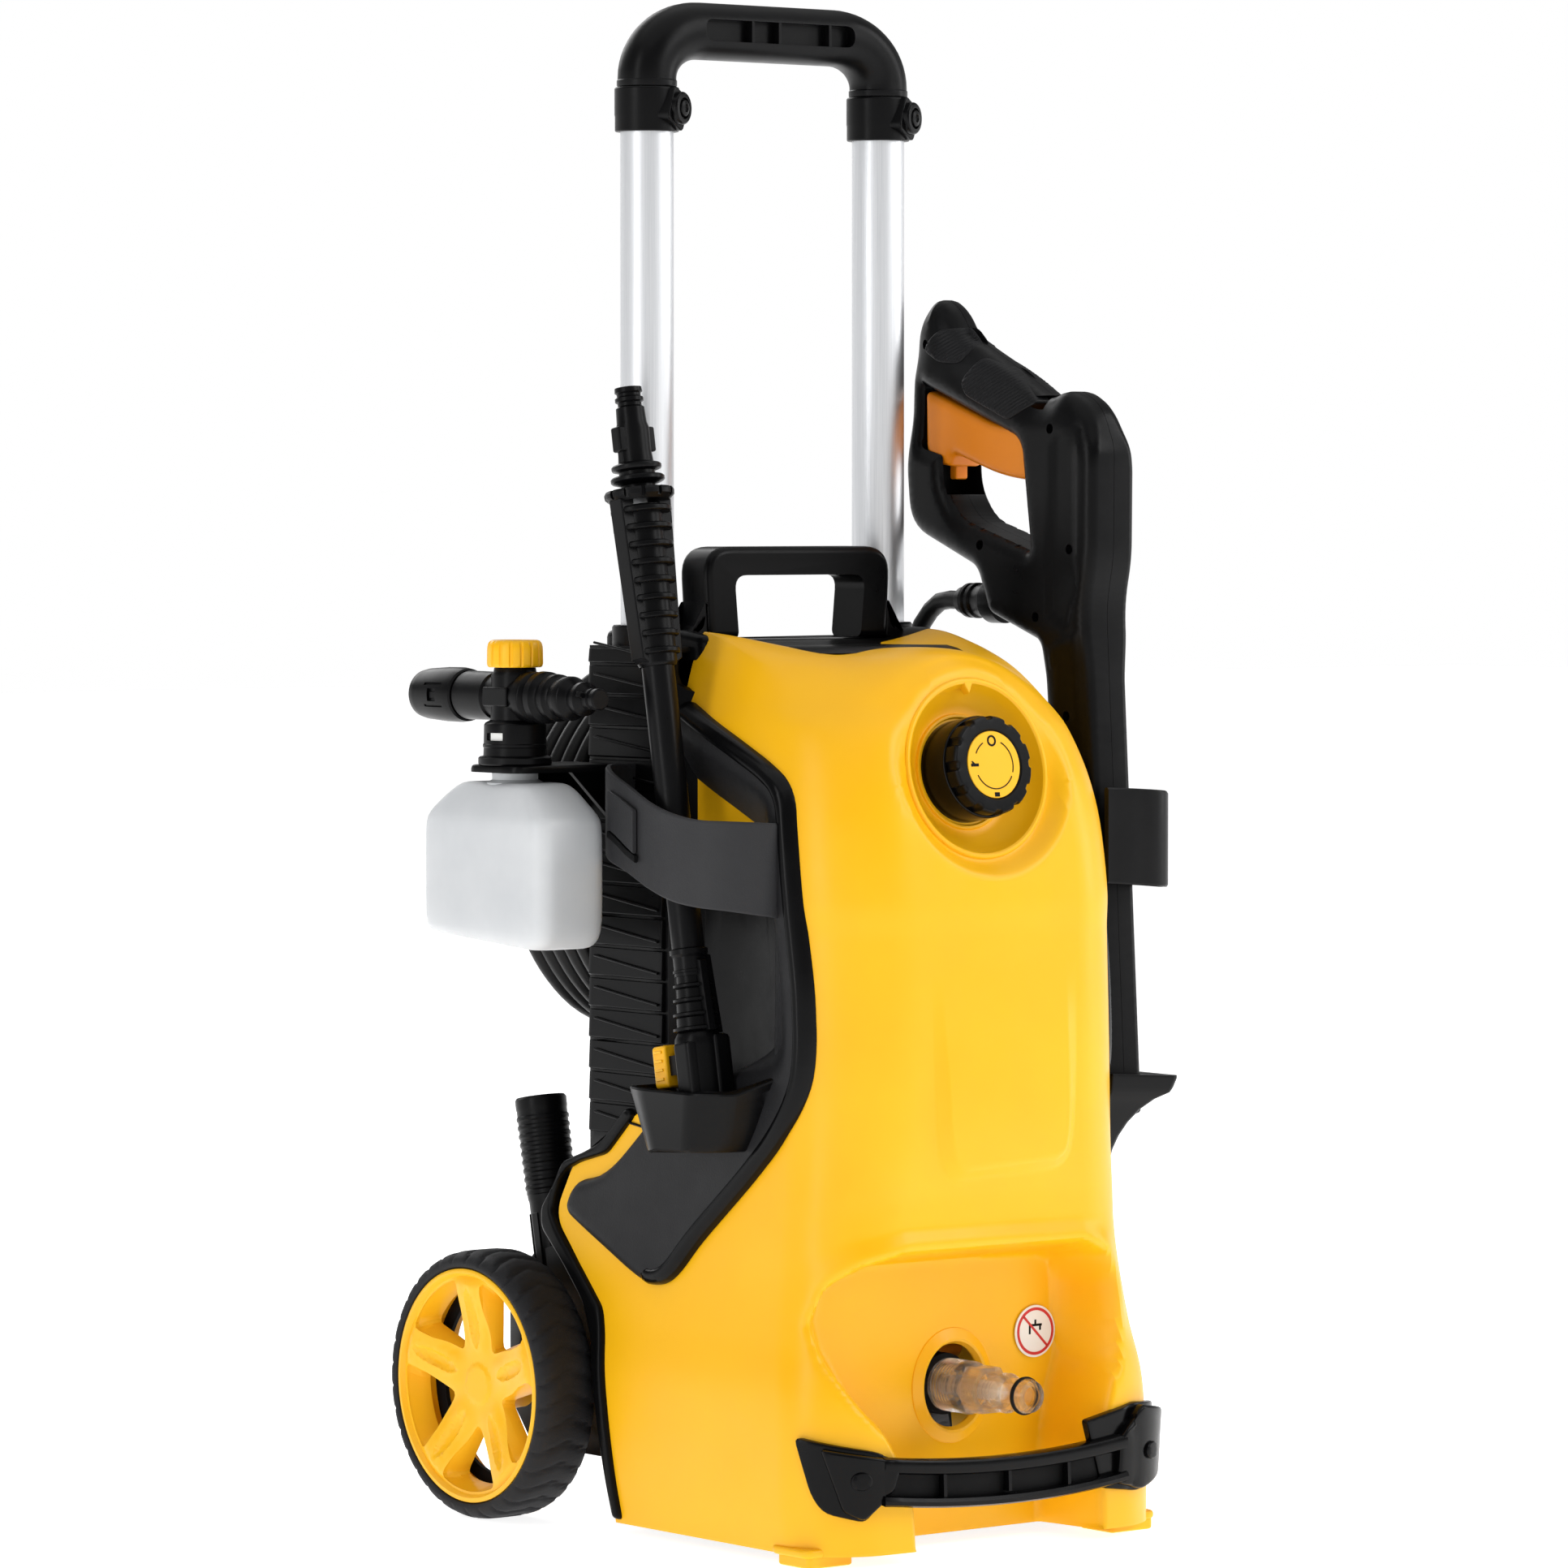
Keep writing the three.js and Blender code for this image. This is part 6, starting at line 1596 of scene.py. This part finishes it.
def foam_bottle():
    def plan(w, d, r, z, shift=0.0):
        o = rounded([(-w, -d), (w, -d), (w, d), (-w, d)], r, 7)
        return np.column_stack([o + [0, shift], np.full(len(o), z)])
    w, d = 22.9, 53.4
    stations = [(w - 12, d - 14, 6, 306.4), (w - 6, d - 8, 9, 306.2), (w - 2.6, d - 4.4, 11, 308),
                (w - 0.8, d - 1.6, 12, 312), (w, d, 12, 318),
                (w, d, 12, 345), (w, d - 0.2, 12, 364), (w, d - 0.6, 12, 371), (w - 0.6, d - 2.4, 12, 375),
                (w - 3.0, d - 9, 12, 381.5),
                (w - 5.6, d - 16, 11, 387.6), (w - 7.6, d - 20.5, 10, 390.4), (w - 9.4, d - 24, 9, 391.5),
                (w - 11, d - 32, 8, 391.8)]
    rings = [plan(*q) for q in stations]
    body = loft(rings)
    p = body[0]
    # the base is drawn in under the rear half, and a shallow groove runs up beside the front corner
    lift = 5.0 * ease((p[:, 1] - 2) / 12) * ease((316 - p[:, 2]) / 8)
    p = np.column_stack([p[:, 0], p[:, 1], p[:, 2] + lift])
    p[:, 1] += 1.6 * ease((392 - p[:, 2]) / 12)
    side = ease((np.abs(p[:, 0]) - w + 2.5) / 2) * ease((372 - p[:, 2]) / 6) * ease((p[:, 2] - 312) / 6)
    p[:, 0] -= np.sign(p[:, 0]) * side * 0.8 * np.exp(-((p[:, 1] + 30) / 3.0) ** 2)
    s = moved((p, body[1]), FOAM_X, FOAM_Y)
    obj = raw_object("foam_tank", s)
    m = obj.modifiers.new("skin", "SUBSURF")
    m.levels = m.render_levels = 1
    apply_modifiers(obj)
    soften(obj, 0, sharp=60)
    finish_piece(obj, MILKY, "foam_lance", ("foam_bottle",))
    neck = lathe([(0, 385), (15.5, 385), (15.0, 391.5), (12, 393), (12, 408), (0, 408)], 56)
    piece("foam_tank_neck", moved(neck, FOAM_X, FOAM_Y), MILKY, "foam_lance", width=0)


def foam_head():
    up = lambda s: moved(s, FOAM_X, FOAM_Y)
    along = lambda s: aim(s, (0, 1, 0), FOAM_X, FOAM_Y, FOAM_Z)
    neck = lathe([(0, 400.6), (18.6, 400.6), (19.2, 401.4), (19.2, 404.2), (18.4, 405), (16.6, 405.4),
                  (16.4, 409.5), (16.8, 410.0), (16.8, 411.2), (16.4, 411.7),
                  (16.2, 421.4), (15.6, 422.4), (12.8, 424), (12.4, 436), (0, 436)], 64)
    bore = lathe([(0, 395), (12.6, 395), (12.6, 408.6), (0, 408.6)], 40)
    window = turn(moved(prism("xz", rounded([(-6, 413.4), (6, 413.4), (6, 417.4), (-6, 417.4)], 0.8), -30, -14.4)),
                  "Z", -78)
    piece("foam_neck", up(neck), BLACK, "foam_lance", ("foam_body",), width=0, sharp=34,
          holes=[up(bore), up(window)])
    insert = lathe([(0, 411), (15.0, 411), (15.0, 419), (0, 419)], 48)
    piece("foam_neck_window", up(insert), WHITE, "foam_lance", width=0)
    boss = lathe([(0, 424), (11.6, 424), (12.4, 426), (12.4, 447), (11.2, 449), (10.8, 451), (0, 451)], 56)
    piece("foam_boss", up(boss), BLACK, "foam_lance", width=0, sharp=34)

    r = [(0, -74), (4.8, -74), (5.6, -73), (5.6, -70.4), (4.8, -69.8), (4.8, -68.4), (5.6, -67.8), (5.6, -64),
         (7.4, -62.4), (8.8, -61), (8.8, -58.6),
         (7.6, -57.6), (7.4, -54), (8.4, -52.6), (10.6, -51), (11.4, -49.6), (11.4, -46.4), (10.4, -45),
         (10.2, -41), (11.0, -39.6), (12.2, -38.6), (12.4, -36),
         (11.2, -34.6), (10.9, -31.6), (12.0, -30), (13.4, -28.8), (13.6, -24.8), (12.6, -23.4), (11.0, -22.8),
         (10.8, -20.4), (12.6, -19.2), (13.2, -18),
         (13.2, -13.4), (12.2, -12.2), (11.6, -11), (11.6, 14), (12.6, 15), (12.8, 38.6), (12.2, 39.8), (0, 39.8)]
    piece("foam_barrel", along(lathe(r, 64)), BLACK, "foam_lance", width=0, sharp=30)
    pins = [along(turn(box(4.4, 8.4, -1.4, 1.4, -66.5, -63, 0.4), "Z", a)) for a in (20, 200)]
    rings = [along(turn(prism("xy", rounded([(8, -5), (12.6, -5), (12.6, 5), (8, 5)], 1), -9, 12, 1.0), "Z",
                        a)) for a in (180, 0)]
    piece("foam_pins", join(*pins, *rings), BLACK, "foam_lance", width=0.2)

    tip = lathe([(0, 40.3), (13.0, 40.3), (13.8, 41.2), (14.4, 46), (14.3, 58), (13.4, 73), (12.6, 77.6),
                 (11.2, 79.6), (9.8, 79.8), (9.4, 76), (0, 74)], 64)
    slots = [turn(box(12.6, 17, -3.4, 3.4, 52, 59), "Z", a) for a in (180, 0)]
    grooves = [turn(box(13.4, 17, -0.7, 0.7, 47, 63), "Z", a + k) for a in (180, 0) for k in (-24, 24)]
    piece("foam_spray", along(tip), BLACK, "foam_spray_tip", ("foam_nozzle",), width=0, sharp=34,
          holes=[along(c) for c in slots + grooves])
    keys = [turn(box(11.8, 13.3, -1.6, 1.6, 53, 58, 0.3), "Z", a) for a in (180, 0)]
    piece("foam_spray_keys", along(join(*keys)), BLACK, "foam_spray_tip", width=0.2)

    n, flutes, rings = 192, 16, []
    a = np.arange(n) * 2 * math.pi / n
    groove = ease((np.cos(a * flutes / 2) ** 8 - 0.35) / 0.5)
    for z, k, f in ((451.3, 0.93, 0), (451.8, 0.97, 0.3), (453, 1.0, 1), (460, 0.995, 1), (462, 0.985, 1),
                    (463.8, 0.95, 0.7), (465.0, 0.88, 0.3), (465.4, 0.8, 0), (465.4, 0.62, 0),
                    (464.8, 0.55, 0)):
        rr = 14.6 * k - 0.8 * f * groove
        rings.append(np.column_stack([rr * np.cos(a), rr * np.sin(a), np.full(n, z)]))
    piece("foam_cap", up(loft(rings)), YELLOW, "foam_dial", ("foam_knob",), width=0, sharp=40)


foam_bottle()
foam_head()


def bottle_shelf():
    outline = rounded([(-100.2, 20, 1), (-167, 22), (-170, 30), (-170, 60), (-165, 66), (-100.2, 66, 1)], 4, 4)
    s = plate(outline, lambda x, y, d: 398.6 + round_over(d, 2.0, 2.0), rings=(0.5, 1.2, 2.2), spacing=5,
              back=396.8)
    mouth = moved(lathe([(0, 380), (13.0, 380), (13.0, 420), (0, 420)], 48), FOAM_X, FOAM_Y)
    web = [prism("xz", [(-100.2, 397.5), (-132, 397.5), (-100.2, 366)], y, y + 3.4, 0.5) for y in (24, 60)]
    piece("bottle_shelf", s, BLACK, "chassis", ("bottle_fork",), width=0.3, holes=[mouth])
    piece("bottle_webs", join(*web), BLACK, "chassis", width=0.3)


bottle_shelf()

# ------------------------------------------------------------------ CAD pieces that keep their shape
def dress(node, material, width=0.5, angle=25):
    """Gives a CAD node its finish, welds its facets and rounds its edges."""
    obj = NODES[node]
    mesh = obj.data
    if mesh.attributes.get("custom_normal"):
        mesh.attributes.remove(mesh.attributes["custom_normal"])
    mesh.materials.clear()
    mesh.materials.append(material)
    mesh.polygons.foreach_set("use_smooth", np.ones(len(mesh.polygons), bool))
    weld = obj.modifiers.new("weld", "WELD")
    weld.merge_threshold = 2e-5
    if width:
        b = obj.modifiers.new("edges", "BEVEL")
        b.width, b.segments, b.limit_method, b.angle_limit = width / 1000, 2, "ANGLE", math.radians(angle)
    split = obj.modifiers.new("split", "EDGE_SPLIT")
    split.split_angle = math.radians(38)


BY_COLOUR = {
    "front_cover": YELLOW, "foot_left": YELLOW, "foot_right": YELLOW, "rim_left": YELLOW, "rim_right": YELLOW,
    "knob_label": YELLOW, "foam_knob": YELLOW, "lance_button": YELLOW, "gun_trigger": ORANGE,
             "trigger_lock": ORANGE,
    "lance_strap": GREY, "lance_cup": DARK, "gun_strap": DARK, "gun_cup": DARK, "side_trim_left": GREY,
    "side_trim_right": GREY, "tyre_left": TYRE, "tyre_right": TYRE, "pole_left": ALUMINIUM, "pole_right": ALUMINIUM,
    "axle": STEEL, "motor_can": STEEL, "rotor_shaft": STEEL, "wobble_plate": STEEL, "piston_a": STEEL,
    "piston_b": STEEL, "piston_c": STEEL, "pump_head": CAST, "outlet_fitting": BRASS, "inlet_fitting": BRASS,
    "inlet_filter": CLEAR, "motor_fan": WHITE, "foam_bottle": MILKY, "switch_box": GREY,
}
for _name, _node in NODES.items():
    if not _node.hide_render:
        dress(_name, BY_COLOUR.get(_name, BLACK), 0.4)
